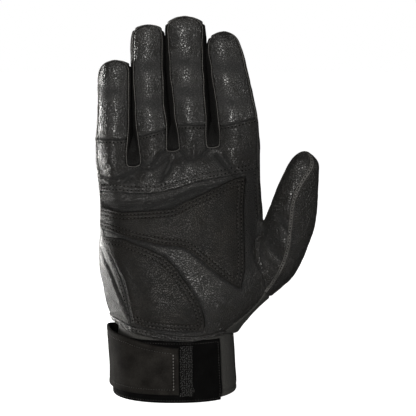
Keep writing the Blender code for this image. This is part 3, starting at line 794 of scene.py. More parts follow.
def finishedOuter(number):
    # the outer face of one region with its folds, creases, seams and stitched rows, and the painted shade of its
    # creases and low places
    s = skins[skin["fineLevel"] if number in fineRegions else skin["plainLevel"]]
    quads = s.region(number)
    used = np.unique(quads)
    rest, normals = s.rest[used], s.normals[used]
    rise = fineRise(rest, normals)
    for other in range(len(regionNames)):
        line = [v for v in s.seamVertices(number, (other,)) if s.rest[v][2] > 47]
        if not line:
            continue
        away = distanceTo(rest, s.rest[line])
        if (number, other) in lappedSeam:
            rise += sum(height * bell(away - middle, width) for height, middle, width in lappedSeam[number, other])
        else:
            faint = seams["faint"].get((number, other), seams["faint"].get((other, number)))
            rise += grooved(away, faint or seams["depth"], seams["width"], 0.0 if faint else 0.16)
    fields = []
    for owner, others, distances, kind in seamRows:
        line = s.seamVertices(number, others) if owner == number else []
        if line:
            away = distanceTo(rest, s.rest[line])
            for distance in distances:
                groove = stitchKinds[kind]["groove"]
                rise -= groove * bell(away - distance, stitchKinds[kind]["spread"])
            fields.append((away, distances, kind))
    outer = s.broad[used] + normals * rise[:, None]
    place = np.full(len(s.rest), -1)
    place[used] = np.arange(len(used))
    for away, distances, kind in fields:
        for distance in distances:
            for line, out in levelLines(outer, normals, place[quads], away, distance):
                addStitches("thumb" if number == thumbBack else "leather", kind, line, out)
    # the last value is the painted shade for each point of the outer face
    return s, used, outer, normals, quads, s.edges[number], paintedFoldShade(rest, rise) * facing(normals)


def finishMesh(name, points, faces, materials, values=None):
    mesh = bpy.data.meshes.new(name)
    mesh.from_pydata((np.asarray(points) * mm).tolist(), [], faces)
    for material in materials:
        mesh.materials.append(material)
    mesh.polygons.foreach_set("use_smooth", [True] * len(mesh.polygons))
    for key, numbers in (values or {}).items():
        layer = mesh.attributes.new(key, "FLOAT", "POINT")
        layer.data.foreach_set("value", np.asarray(numbers, np.float32))
    mesh.update()
    piece = bpy.data.objects.new(name, mesh)
    bpy.context.scene.collection.objects.link(piece)
    return piece


def sewnRegion(number, material):
    # outer face, folded-in rim and a plainer inner face, as one closed wall
    s, used, outer, normals, quads, edges, shade = finishedOuter(number)
    place = np.full(len(s.rest), -1)
    place[used] = np.arange(len(used))
    inward = {}
    for a, b in place[edges].tolist():
        side = np.cross(normals[a] + normals[b], outer[b] - outer[a])
        side /= np.linalg.norm(side)
        for v in (a, b):
            inward.setdefault(v, []).append(side)
    for v, sides in inward.items():
        total = np.sum(sides, axis=0)
        outer[v] += skin["seamGap"] * total / max(1 + float(np.dot(sides[0], sides[-1])), 0.5)

    inner = skins[skin["innerLevel"]]
    innerQuads = inner.region(number)
    innerUsed = np.unique(innerQuads)
    innerPlace = np.full(len(inner.rest), -1)
    innerPlace[innerUsed] = np.arange(len(innerUsed))
    innerPoints = inner.broad[innerUsed] - skin["wall"] * inner.normals[innerUsed]
    innerEdges = innerPlace[regionEdges(innerQuads)].tolist()

    tree = KDTree(len(inward))
    for v in inward:
        tree.insert(s.rest[used[v]], v)
    tree.balance()
    above = {v: tree.find(inner.rest[innerUsed[v]])[1] for edge in innerEdges for v in edge}
    following = {}
    for a, b in place[edges].tolist():
        following.setdefault(a, []).append(b)
    count = len(used)
    rim = []
    steps = 2 ** ((5 if number in fineRegions else 4) - skin["innerLevel"])
    for a, b in innerEdges:
        for first in following[above[a]]:
            run = [above[a], first]
            while len(run) <= steps and run[-1] in following:
                run.append(following[run[-1]][0])
            if run[-1] == above[b]:
                break
        half = steps // 2
        for i in range(steps):
            rim.append((run[i + 1], run[i], count + (a if i < half else b)))
        rim.append((run[half], count + a, count + b))
    faces = place[quads].tolist() + (innerPlace[innerQuads][:, ::-1] + count).tolist() + rim
    allPoints = np.vstack([outer, innerPoints])
    # painted shade on the outer face, none on the inner face
    paintedShade = np.concatenate([shade, np.zeros(len(innerPoints))])
    return finishMesh(regionNames[number] + "_sewn", allPoints, faces, [material], {"paintedShade": paintedShade})


# materials


def newMaterial(name):
    material = bpy.data.materials.new(name)
    material.use_nodes = True
    return material, material.node_tree, material.node_tree.nodes["Principled BSDF"]


def newGroup(name, inputs, outputs):
    group = bpy.data.node_groups.new(name, "ShaderNodeTree")
    for key, value in inputs.items():
        kind = "NodeSocketFloat" if isinstance(value, (int, float)) else "NodeSocketColor"
        socket = group.interface.new_socket(key, in_out="INPUT", socket_type=kind)
        socket.default_value = value if kind == "NodeSocketFloat" else (*value, 1)
    for key, kind in outputs.items():
        group.interface.new_socket(key, in_out="OUTPUT", socket_type=kind)
    return group, group.nodes.new("NodeGroupInput"), group.nodes.new("NodeGroupOutput")


def mathNode(tree, operation, *values):
    node = addNode(tree, "ShaderNodeMath", {"operation": operation})
    return feed(tree, node, dict(enumerate(values))).outputs["Value"]


def mixNode(tree, factor, first, second):
    return addNode(tree, "ShaderNodeMix", {"data_type": "RGBA"}, Factor=factor, A=first, B=second).outputs["Result"]


def grainGroup():
    # pebbled hide: rounded cells parted by fine valleys, with softer wrinkles across them
    group, given, result = newGroup(
        "pebbledGrain",
        {"Scale": 760.0, "Depth": 1.0, "Wrinkle": 0.5},
        {"Height": "NodeSocketFloat", "Valley": "NodeSocketFloat", "Cloud": "NodeSocketFloat"},
    )
    place = addNode(group, "ShaderNodeTexCoord").outputs["Object"]
    bend = addNode(group, "ShaderNodeTexNoise", Vector=place, Scale=240.0, Detail=2.0)
    shifted = addNode(group, "ShaderNodeVectorMath", {"operation": "MULTIPLY_ADD"})
    feed(group, shifted, {0: bend.outputs["Color"], 1: (0.0011, 0.0011, 0.0011), 2: place})
    cells = addNode(
        group, "ShaderNodeTexVoronoi", {"feature": "DISTANCE_TO_EDGE"},
        Vector=shifted.outputs["Vector"], Scale=given.outputs["Scale"],
    )
    valley = addNode(
        group, "ShaderNodeMapRange", {"interpolation_type": "SMOOTHSTEP"},
        **{"Value": cells.outputs["Distance"], "From Max": 0.22},
    )
    wrinkle = addNode(
        group, "ShaderNodeTexNoise", {"noise_type": "RIDGED_MULTIFRACTAL"}, Vector=place, Scale=230.0, Detail=3.0
    )
    cloud = addNode(group, "ShaderNodeTexNoise", Vector=place, Scale=60.0, Detail=4.0)
    pebble = mathNode(group, "MULTIPLY", valley.outputs["Result"], given.outputs["Depth"])
    ridges = mathNode(group, "MULTIPLY", wrinkle.outputs["Fac"], given.outputs["Wrinkle"])
    feed(group, result, {
        "Height": mathNode(group, "ADD", pebble, ridges),
        "Valley": valley.outputs["Result"],
        "Cloud": cloud.outputs["Fac"],
    })
    return group


grain = grainGroup()


def leatherMaterial(name, dark, light, roughness, scale=760.0, depth=1.0, wrinkle=0.5, bump=0.00016, gloss=0.5):
    material, tree, shader = newMaterial(name)
    pattern = addNode(tree, "ShaderNodeGroup", {"node_tree": grain}, Scale=scale, Depth=depth, Wrinkle=wrinkle)
    height, valley, cloud = (pattern.outputs[key] for key in ("Height", "Valley", "Cloud"))
    tone = addNode(tree, "ShaderNodeMapRange", **{"Value": cloud, "From Min": 0.3, "From Max": 0.7})
    hide = mixNode(tree, mathNode(tree, "MULTIPLY", tone.outputs["Result"], valley), (*dark, 1), (*light, 1))
    # a point attribute paints shade into creases and low places: it darkens the base colour towards black and raises
    # the roughness
    paintedShade = addNode(tree, "ShaderNodeAttribute", {"attribute_name": "paintedShade"}).outputs["Fac"]
    sheen = addNode(
        tree, "ShaderNodeMapRange", **{"Value": valley, "To Min": roughness + 0.16, "To Max": roughness - 0.04}
    )
    relief = addNode(tree, "ShaderNodeBump", Strength=1.0, Distance=bump, Height=height)
    feed(tree, shader, {
        "Base Color": mixNode(tree, paintedShade, hide, (0.001, 0.001, 0.001, 1)),
        "Roughness": mathNode(tree, "ADD", sheen.outputs["Result"], mathNode(tree, "MULTIPLY", paintedShade, 0.5)),
        "Normal": relief.outputs["Normal"],
        "Specular IOR Level": gloss,
    })
    return material


hideDark = (0.0010, 0.0008, 0.0006)
hideLight = (0.011, 0.0094, 0.0073)
leather = leatherMaterial("blackGoatLeather", hideDark, hideLight, 0.49, wrinkle=0.25, bump=0.00032, gloss=0.58)
fingerLeather = leatherMaterial("fingerLeather", hideDark, hideLight, 0.46, 740.0, 1.0, 0.20, 0.00030, 0.88)
patchLeather = leatherMaterial(
    "patchLeather", hideDark, (0.013, 0.0110, 0.0084), 0.54, 820.0, 0.9, 0.25, 0.00026, 0.28
)
# painted shade: a darker, duller copy of the leather for the gussets, which lie in shadow between the fingers
gussetPaintedShadeLeather = leatherMaterial(
    "gussetPaintedShadeLeather", (0.002, 0.0019, 0.0017), (0.004, 0.0038, 0.0035), 0.7, 820.0, 0.8, 0.4, 0.00014, 0.15
)
cutEdge = leatherMaterial(
    "rawSeamEdge", (0.045, 0.043, 0.040), (0.10, 0.095, 0.088), 0.55, 1500.0, 0.5, 0.4, 0.0002
)


def knitMaterial():
    material, tree, shader = newMaterial("quiltedKnit")
    place = addNode(tree, "ShaderNodeTexCoord").outputs["Object"]
    loops = addNode(tree, "ShaderNodeTexVoronoi", Vector=place, Scale=1250.0, Randomness=0.45).outputs["Distance"]
    fluff = addNode(tree, "ShaderNodeTexNoise", Vector=place, Scale=900.0, Detail=4.0)
    height = mathNode(tree, "SUBTRACT", mathNode(tree, "MULTIPLY", fluff.outputs["Fac"], 0.6), loops)
    relief = addNode(tree, "ShaderNodeBump", Distance=0.0003, Height=height)
    feed(tree, shader, {
        "Base Color": mixNode(tree, loops, (0.036, 0.035, 0.032, 1), (0.011, 0.011, 0.010, 1)),
        "Roughness": 0.9,
        "Normal": relief.outputs["Normal"],
    })
    return material


def nappedMaterial(name, dark, light, roughness, scale, bump, gloss=0.2):
    material, tree, shader = newMaterial(name)
    place = addNode(tree, "ShaderNodeTexCoord").outputs["Object"]
    nap = addNode(tree, "ShaderNodeTexNoise", Vector=place, Scale=scale, Detail=5.0, Roughness=0.65).outputs["Fac"]
    cloud = addNode(tree, "ShaderNodeTexNoise", Vector=place, Scale=120.0, Detail=5.0).outputs["Fac"]
    both = mathNode(tree, "MULTIPLY_ADD", nap, 0.5, mathNode(tree, "MULTIPLY", cloud, 0.5))
    blend = addNode(tree, "ShaderNodeMapRange", **{"Value": both, "From Min": 0.32, "From Max": 0.68})
    relief = addNode(tree, "ShaderNodeBump", Distance=bump, Height=nap)
    feed(tree, shader, {
        "Base Color": mixNode(tree, blend.outputs["Result"], (*dark, 1), (*light, 1)),
        "Roughness": roughness,
        "Specular IOR Level": gloss,
        "Normal": relief.outputs["Normal"],
    })
    return material


knit = knitMaterial()
suede = nappedMaterial(
    "nappedSuede", (0.0015, 0.0013, 0.001), (0.018, 0.0168, 0.0150), 0.95, 1500.0, 0.0003, 0.08
)
pile = nappedMaterial("loopPile", (0.0008, 0.0008, 0.0008), (0.003, 0.003, 0.003), 1.0, 2600.0, 0.0004, 0.05)
hookBase = nappedMaterial("hookBase", (0.002, 0.002, 0.002), (0.005, 0.005, 0.005), 0.9, 2000.0, 0.0002, 0.1)
hookWire = nappedMaterial("hookWire", (0.05, 0.05, 0.049), (0.12, 0.12, 0.115), 0.45, 3000.0, 0.0001)
thread = nappedMaterial("sewingThread", (0.020, 0.019, 0.018), (0.055, 0.052, 0.050), 0.6, 3500.0, 0.0001)
brightThread = nappedMaterial("brightThread", (0.07, 0.068, 0.066), (0.17, 0.165, 0.16), 0.5, 3500.0, 0.0001)
needleHole = nappedMaterial(
    "needleHole", (0.0005, 0.0005, 0.0005), (0.001, 0.001, 0.001), 1.0, 2000.0, 0.0001, 0.02
)
print("materials made")

# leather pieces


def dress(piece, slotName, *nodes):
    if nodes:
        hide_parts(*nodes)
    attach(piece, "root")


for number, name in enumerate(regionNames):
    # the gussets take the leather with painted shade
    kind = {sideKnit: knit, upper: leather}.get(number, gussetPaintedShadeLeather if number in gussets else leather)
    if number in fronts:
        kind = fingerLeather
    piece = sewnRegion(number, kind)
    dress(piece, "knit" if number == sideKnit else "leather", name)
    print(name, len(piece.data.polygons))

# pieces laid on the palm


def palmSurface():
    # the skin with its broad folds, read from the front
    s = skins[4]
    keep = np.isin(s.index, (palm, upper, thumbFront, backPanel))
    quads = s.quads[keep]
    tree = BVHTree.FromPolygons(s.broad.tolist(), quads.tolist())
    normals = vertexNormals(s.broad, s.quads)

    def find(x, z):
        hit, _, number, _ = tree.ray_cast(Vector((x, -120, z)), Vector((0, 1, 0)))
        corners = quads[number]
        weights = 1 / (0.02 + np.linalg.norm(s.broad[corners] - np.array(hit), axis=1) ** 2)
        out = (normals[corners] * weights[:, None]).sum(axis=0)
        return np.array(hit), out / np.linalg.norm(out)

    return find


def along(line, share):
    line = np.array(line, float)
    steps = np.linalg.norm(np.diff(line, axis=0), axis=1)
    reach = np.concatenate([[0], np.cumsum(steps)]) / steps.sum()
    return np.stack([np.interp(share, reach, line[:, 0]), np.interp(share, reach, line[:, 1])], axis=-1)


def roundedLine(line, count=120, soft=3):
    # the line with its corners eased
    points = along(line, np.linspace(0, 1, count))
    for _ in range(soft):
        points[1:-1] = (points[:-2] + 2 * points[1:-1] + points[2:]) / 4
    return points


def closeShares(length, pitch, edgeSteps=(0.0, 0.18, 0.4, 0.7, 1.1)):
    # grid positions along a side, closer together near its ends
    last = edgeSteps[-1]
    inner = np.linspace(last, length - last, max(2, int((length - 2 * last) / pitch) + 1))
    steps = np.concatenate([edgeSteps[:-1], inner, length - np.array(edgeSteps[:-1])[::-1]])
    return steps / length


def coonsGrid(shape, pitch):
    top, bottom = roundedLine(shape["top"]), roundedLine(shape["bottom"])
    left, right = roundedLine(shape["left"]), roundedLine(shape["right"])
    wide = np.linalg.norm(np.diff(top, axis=0), axis=1).sum()
    high = np.linalg.norm(np.diff(right, axis=0), axis=1).sum()
    us, vs = closeShares(wide, pitch), closeShares(high, pitch)
    u, v = np.meshgrid(us, vs)
    u, v = u[..., None], v[..., None]
    grid = (1 - v) * along(bottom, us)[None] + v * along(top, us)[None]
    grid += (1 - u) * along(left, vs)[:, None] + u * along(right, vs)[:, None]
    grid -= (1 - u) * (1 - v) * bottom[0] + u * (1 - v) * bottom[-1]
    grid -= (1 - u) * v * top[0] + u * v * top[-1]
    return grid


def gridNormals(points):
    across = np.gradient(points, axis=1)
    upward = np.gradient(points, axis=0)
    normals = np.cross(across, upward)
    return normals / np.linalg.norm(normals, axis=2, keepdims=True)


def outlineOf(grid):
    return np.concatenate([grid[0], grid[1:, -1], grid[-1, -2::-1], grid[-2:0:-1, 0]])


def gridQuads(rows, columns):
    corner = (np.arange(rows - 1)[:, None] * columns + np.arange(columns - 1)).ravel()
    return np.stack([corner, corner + 1, corner + 1 + columns, corner + columns], axis=1)


def closedSheet(name, low, high, materials):
    rows, columns = low.shape[:2]
    count = rows * columns
    quads = gridQuads(rows, columns)
    edge = outlineOf(np.arange(count).reshape(rows, columns, 1)).ravel()
    following = np.roll(edge, -1)
    rim = np.stack([edge, following, following + count, edge + count], axis=1)
    faces = np.concatenate([quads + count, quads[:, ::-1], rim])
    points = np.concatenate([low.reshape(-1, 3), high.reshape(-1, 3)])
    return finishMesh(name, points, faces.tolist(), materials)


patches = {
    "pitch": 0.5,
    "thickness": 1.35,
    "lift": 0.3,
    "edgeRadius": 0.9,
    "rows": (1.9, 4.3),
    "rowDepth": 0.42,
}
palmPatch = {
    "top": (
        (-45.0, 118.6), (-30, 117), (-15, 118.2), (0, 119.5), (6.5, 123), (18.5, 128.2), (36.5, 137), (45.2, 139),
    ),
    "bottom": (
        (-44.8, 106), (-38, 104.6), (-25, 101), (-3.5, 97), (6.4, 96.4), (12, 93.4), (31, 77.6), (42.2, 70.2),
    ),
    "left": ((-44.8, 106), (-45.0, 118.6)),
    "right": ((42.2, 70.2), (44.6, 83), (43.7, 119), (45.2, 139)),
}
heelPatch = {
    "top": ((-43.6, 101), (-31, 101), (-16, 96), (-4.5, 90.8), (2, 84.5)),
    "bottom": ((-23.4, 49.4), (-16, 46.6), (-7, 45.4), (8, 44.5), (18.6, 44.8)),
    "left": ((-23.4, 49.4), (-26, 62), (-28.6, 74), (-35, 86), (-43.6, 101)),
    "right": ((18.6, 44.8), (20.3, 48), (19.8, 54), (17.4, 62.5), (10.2, 73.6), (2, 84.5)),
}
findPalm = palmSurface()


def laidPatch(name, shape, material, node):
    flat = coonsGrid(shape, patches["pitch"])
    rows, columns = flat.shape[:2]
    base = np.empty((rows, columns, 3))
    out = np.empty((rows, columns, 3))
    for j in range(rows):
        for i in range(columns):
            base[j, i], out[j, i] = findPalm(*flat[j, i])
    for _ in range(6):
        out[1:-1, 1:-1] = (out[:-2, 1:-1] + out[2:, 1:-1] + out[1:-1, :-2] + out[1:-1, 2:]) / 4
    out /= np.linalg.norm(out, axis=2, keepdims=True)
    edge = outlineOf(base)
    away = distanceTo(base.reshape(-1, 3), edge).reshape(rows, columns)
    sewnEdge = np.concatenate([base[0], base[:, -1], base[-1]])
    fromSeam = distanceTo(base.reshape(-1, 3), sewnEdge).reshape(rows, columns)
    t = np.clip(away / patches["edgeRadius"], 0, 1)
    height = patches["lift"] + patches["thickness"] * np.sqrt(1 - (1 - t) ** 2)
    for row in patches["rows"]:
        height -= patches["rowDepth"] * bell(fromSeam - row, 0.45)
    height += 0.25 * (1 - bell(away, 9.0))
    swell = 0.22 * swellAt(base.reshape(-1, 3), 8.0, (3, 9, 4))
    height += swell.reshape(rows, columns) * np.clip(away / 3, 0, 1)
    low = base + out * patches["lift"] * 0.6
    high = base + out * height[..., None]
    piece = closedSheet(name, low, high, [material])
    dress(piece, "patch_leather", node)
    quads = gridQuads(rows, columns)
    for row in patches["rows"]:
        for line, normals in levelLines(high.reshape(-1, 3), out.reshape(-1, 3), quads, fromSeam.ravel(), row):
            addStitches("leather", "wide", line, normals)


laidPatch("patch_palm_sewn", palmPatch, patchLeather, "patch_palm")
laidPatch("patch_heel_sewn", heelPatch, patchLeather, "patch_heel")
print("patches laid")

# hem of the leather round the wrist

hem = {
    "profile": (
        (-0.3, -0.9), (-0.75, -0.3), (-0.8, 0.4), (-0.45, 1.0), (0.3, 1.35), (1.3, 1.4), (1.9, 1.15), (2.5, 1.4),
        (3.2, 1.3), (3.6, 0.95), (3.75, 0.4), (3.6, 0.05), (1.5, 0.05), (0.3, -0.2),
    ),
}


def hemBand():
    s = skins[4]
    edges = regionEdges(s.quads)
    low = np.array([e for e in edges.tolist() if s.rest[e[0]][2] < 60], int)
    fabric = set(s.region(sideKnit).ravel().tolist())
    near = {}
    for quad in s.quads[(s.rest[s.quads[:, 0], 2] < 62)].tolist():
        for i in range(4):
            near.setdefault(quad[i], set()).update((quad[(i + 1) % 4], quad[i - 1]))
    following = dict(low.tolist())
    rim = set(low.ravel().tolist())
    starts = [v for v in rim if v in fabric and following[v] not in fabric]
    run = [starts[0]]
    while following[run[-1]] not in fabric:
        run.append(following[run[-1]])
    run.append(following[run[-1]])
    rings = []
    for v in run:
        up = next(n for n in near[v] if n not in rim)
        climb = s.broad[up] - s.broad[v]
        climb /= np.linalg.norm(climb)
        out = s.normals[v]
        wave = 0.20 * math.sin(1.3 * len(rings)) + 0.25 * noise.noise(Vector(s.rest[v]) / 2.5)
        rings.append([s.broad[v] + climb * a + out * (b + wave * (b > 0.3)) for a, b in hem["profile"]])
    size = len(hem["profile"])
    faces = []
    for j in range(len(rings) - 1):
        for i in range(size):
            a, b = j * size + i, j * size + (i + 1) % size
            faces.append((a, b, b + size, a + size))
    last = (len(rings) - 1) * size
    faces.append(tuple(range(size))[::-1])
    faces.append(tuple(last + i for i in range(size)))
    rings = np.array(rings)
    middle = rings[:, 6] - s.normals[run] * 0.05
    addStitches("leather", "wide", middle, s.normals[run])
    piece = finishMesh("wrist_hem_sewn", np.array(rings).reshape(-1, 3), faces, [leather])
    dress(piece, "leather", "wrist_hem")


hemBand()
print("hem folded")

# cuff and closure

cuff = {
    "power": 2.3,
    "wall": 1.6,
    # height, left, right, front, back
    "rows": (
        (0.0, -37.4, 39.8, 29.8, 26.8),
        (5.0, -37.4, 40.8, 29.6, 27.2),
        (14.0, -36.8, 40.0, 29.0, 26.8),
        (26.0, -36.4, 39.4, 28.7, 26.2),
        (37.0, -35.8, 38.6, 28.6, 25.4),
        (46.0, -34.8, 38.4, 28.6, 25.2),
    ),
    "around": 300,
}


def smoothColumn(z, column):
    table = np.array(cuff["rows"])
    wide = np.interp(z + np.array([-2.0, -1.0, 0.0, 1.0, 2.0]), table[:, 0], table[:, column])
    return float((wide * (0.1, 0.2, 0.4, 0.2, 0.1)).sum())


def cuffPoint(angle, z, lift):
    left, right, front, back = (smoothColumn(z, i) for i in range(1, 5))
    share = 0.5 - 0.5 * math.tanh((abs((angle + 180) % 360 - 180) - 90) / 8)
    depth = back + (front - back) * share
    x, y = oval(angle, right - left + 2 * lift, 2 * (depth + lift), cuff["power"])
    return np.array(((left + right) / 2 + x, y, z))


def cuffTube():
    # height and lift of the wall: the rolled lower edge, the outside, the inside
    roll = [(0.0, 0.4), (0.35, 0.9), (0.85, 1.15), (1.6, 1.0), (2.2, 0.45), (3.0, 0.1)]
    outer = [(z, lift - 0.5) for z, lift in roll]
    outer += [(z, 0.0) for z in np.arange(4.0, 45.6, 1.0)] + [(46.0, -0.4)]
    inner = [(45.6, -1.4)] + [(z, -cuff["wall"]) for z in np.arange(44.0, 1.5, -2.0)] + [(0.6, -1.5), (0.1, -1.0)]
    loop = outer + inner
    points = []
    for z, lift in loop:
        for n in range(cuff["around"]):
            points.append(cuffPoint(-180 + 360 * n / cuff["around"], z, lift))
    size, around = len(loop), cuff["around"]
    faces = []
    for j in range(size):
        k = (j + 1) % size
        for n in range(around):
            m = (n + 1) % around
            faces.append((j * around + n, j * around + m, k * around + m, k * around + n))
    piece = finishMesh("cuff_knit_sewn", points, faces, [knit])
    dress(piece, "knit", "cuff_knit")


strapTop = ((-150.0, 37.0), (-115.0, 39.5), (-90.0, 42.6), (-45.0, 39.8), (-25.0, 37.0), (0.0, 34.2), (10.0, 33.9))
wraps = {
    "loop_panel": {
        "angles": (-130.0, 44.0), "lift": 0.55, "wall": 1.3, "low": (-1.2, -1.2), "high": (38.5, 38.0), "flare": 0.0,
        "round": 0.5, "pitch": 0.7, "slot": "pile", "wave": 0.10, "rows": (("fine", 1.6),),
    },
    "strap_tab": {
        "angles": (-150.0, 2.6), "lift": 2.3, "wall": 2.0, "low": (4.6, 4.4), "high": (41.5, 34.4), "flare": 3.4,
        "round": 0.9, "pitch": 0.6, "slot": "suede", "wave": 0.25, "rows": (("bright", 3.5),),
    },
    "hook_tape": {
        "angles": (3.6, 13.3), "lift": 2.3, "wall": 1.1, "low": (3.6, 3.6), "high": (35.0, 35.8), "flare": 0.0,
        "round": 0.3, "pitch": 0.6, "slot": "hook", "wave": 0.05, "rows": (),
    },
}


def cuffSteps(angles, z=20):
    # lengths along the cuff between neighbouring angles
    return np.linalg.norm(np.diff([cuffPoint(a, z, 0) for a in angles], axis=0), axis=1)


def wrappedBand(name, material):
    w = wraps[name]
    first, last = w["angles"]
    us = closeShares(cuffSteps(np.linspace(first, last, 60)).sum(), w["pitch"])
    vs = closeShares(32.0, w["pitch"])
    angles = np.linspace(first, last, 400)
    steps = cuffSteps(angles)
    reach = np.concatenate([[0], np.cumsum(steps)]) / steps.sum()
    rows, columns = len(vs), len(us)
    base = np.empty((rows, columns, 3))
    for i, u in enumerate(us):
        angle = float(np.interp(u, reach, angles))
        bottom = w["low"][0] + u * (w["low"][1] - w["low"][0])
        top = w["high"][0] + u * (w["high"][1] - w["high"][0])
        if name == "strap_tab":
            top = np.interp(angle, [a for a, _ in strapTop], [h for _, h in strapTop])
        for j, v in enumerate(vs):
            lift = w["lift"] + w["flare"] * v ** 2 * math.exp(-(((angle + 90) / 45) ** 2))
            base[j, i] = cuffPoint(angle, bottom + (top - bottom) * v, lift)
    out = gridNormals(base)
    away = distanceTo(base.reshape(-1, 3), outlineOf(base)).reshape(rows, columns)
    t = np.clip(away / w["round"], 0, 1)
    height = w["wall"] * (0.35 + 0.65 * np.sqrt(1 - (1 - t) ** 2))
    wave = swellAt(base.reshape(-1, 3), 7.0).reshape(rows, columns)
    height += w["wave"] * wave * np.clip(away / 3, 0, 1)
    if name == "strap_tab":
        height -= 0.3 * bell(away - 3.4, 0.5)
    high = base + out * height[..., None]
    piece = closedSheet(name + "_sewn", base, high, [material])
    dress(piece, w["slot"], name)
    quads = gridQuads(rows, columns)
    for kind, distance in w["rows"]:
        for line, normals in levelLines(high.reshape(-1, 3), out.reshape(-1, 3), quads, away.ravel(), distance):
            # the part of the row across the free end takes the bright stitch kind, the rest the fine kind
            atEnd = (line[:, 0] > high[:, -1, 0].mean() - 4.4) & (line[:, 1] < 0)
            if kind == "fine" or not atEnd.any():
                addStitches("closure", "fine", line, normals)
                continue
            start = int(np.argmax(~atEnd & np.roll(atEnd, -1))) + 1
            line, normals, atEnd = (np.roll(part, -start, axis=0) for part in (line, normals, atEnd))
            count = int(atEnd.sum())
            addStitches("closure", "bright", line[:count], normals[:count])
            addStitches("closure", "fine", line[count:], normals[count:])
    return high


cuffTube()
bands = {
    name: wrappedBand(name, material)
    for name, material in (("loop_panel", pile), ("strap_tab", suede), ("hook_tape", hookBase))
}
print("cuff and closure made")

# what repeats: stitches, needle holes, seam edges, hooks


socketKinds = {type(None): "NodeSocketMaterial", int: "NodeSocketInt", float: "NodeSocketFloat"}


def newTree(name, inputs):
    tree = bpy.data.node_groups.new(name, "GeometryNodeTree")
    tree.interface.new_socket("Geometry", in_out="INPUT", socket_type="NodeSocketGeometry")
    for key, value in inputs.items():
        socket = tree.interface.new_socket(key, in_out="INPUT", socket_type=socketKinds[type(value)])
        if value is not None:
            socket.default_value = value
    tree.interface.new_socket("Geometry", in_out="OUTPUT", socket_type="NodeSocketGeometry")
    return tree, tree.nodes.new("NodeGroupInput"), tree.nodes.new("NodeGroupOutput")


def turnedBy(tree, runName, outName):
    # rotation that lays x along the run and z outwards
    run = addNode(tree, "GeometryNodeInputNamedAttribute", {"data_type": "FLOAT_VECTOR"}, Name=runName)
    out = addNode(tree, "GeometryNodeInputNamedAttribute", {"data_type": "FLOAT_VECTOR"}, Name=outName)
    first = addNode(tree, "FunctionNodeAlignRotationToVector", {"axis": "X"}, Vector=run.outputs["Attribute"])
    second = addNode(
        tree, "FunctionNodeAlignRotationToVector", {"axis": "Z", "pivot_axis": "X"},
        Rotation=first.outputs["Rotation"], Vector=out.outputs["Attribute"],
    )
    return second.outputs["Rotation"]


def combine(tree, x, y, z):
    return addNode(tree, "ShaderNodeCombineXYZ", X=x, Y=y, Z=z).outputs["Vector"]


def endTree(tree, given, result, geometry):
    smooth = addNode(tree, "GeometryNodeSetShadeSmooth", Geometry=geometry)
    real = addNode(tree, "GeometryNodeRealizeInstances", Geometry=smooth.outputs["Geometry"])
    painted = addNode(
        tree, "GeometryNodeSetMaterial", Geometry=real.outputs["Geometry"], Material=given.outputs["Material"]
    )
    tree.links.new(painted.outputs["Geometry"], result.inputs["Geometry"])


def sewnRowTree():
    # one flattened bead on every point of a row
    tree, given, result = newTree("sewnRow", {
        "Length": 0.0017, "Width": 0.0005, "Height": 0.00022, "Shift": 0.0, "Lift": 0.0, "Segments": 6,
        "Material": None,
    })
    bead = addNode(tree, "GeometryNodeMeshUVSphere", Segments=given.outputs["Segments"], Rings=5, Radius=0.5)
    shaped = addNode(
        tree, "GeometryNodeTransform", Geometry=bead.outputs["Mesh"],
        Translation=combine(tree, given.outputs["Shift"], 0.0, given.outputs["Lift"]),
        Scale=combine(tree, given.outputs["Length"], given.outputs["Width"], given.outputs["Height"]),
    )
    placed = addNode(
        tree, "GeometryNodeInstanceOnPoints", Points=given.outputs["Geometry"],
        Instance=shaped.outputs["Geometry"], Rotation=turnedBy(tree, "run", "out"),
    )
    endTree(tree, given, result, placed.outputs["Instances"])
    return tree


def rolledEdgeTree():
    # a thin rolled edge that follows a seam and is pinched in by its stitches
    tree, given, result = newTree("rolledEdge", {
        "Radius": 0.0004, "Pitch": 0.0018, "Pinch": 0.15, "Step": 0.0004, "Sides": 8, "Material": None,
    })
    path = addNode(tree, "GeometryNodeMeshToCurve", Mesh=given.outputs["Geometry"])
    even = addNode(
        tree, "GeometryNodeResampleCurve", {"mode": "LENGTH"},
        Curve=path.outputs["Curve"], Length=given.outputs["Step"],
    )
    reach = addNode(tree, "GeometryNodeSplineParameter")
    turns = mathNode(tree, "DIVIDE", reach.outputs["Length"], given.outputs["Pitch"])
    wave = mathNode(tree, "SINE", mathNode(tree, "MULTIPLY", turns, 2 * math.pi))
    scale = mathNode(tree, "MULTIPLY_ADD", wave, given.outputs["Pinch"], 1.0)
    ring = addNode(
        tree, "GeometryNodeCurvePrimitiveCircle", Resolution=given.outputs["Sides"], Radius=given.outputs["Radius"]
    )
    tube = addNode(
        tree, "GeometryNodeCurveToMesh", Curve=even.outputs["Curve"], Scale=scale,
        **{"Profile Curve": ring.outputs["Curve"], "Fill Caps": True},
    )
    endTree(tree, given, result, tube.outputs["Mesh"])
    return tree


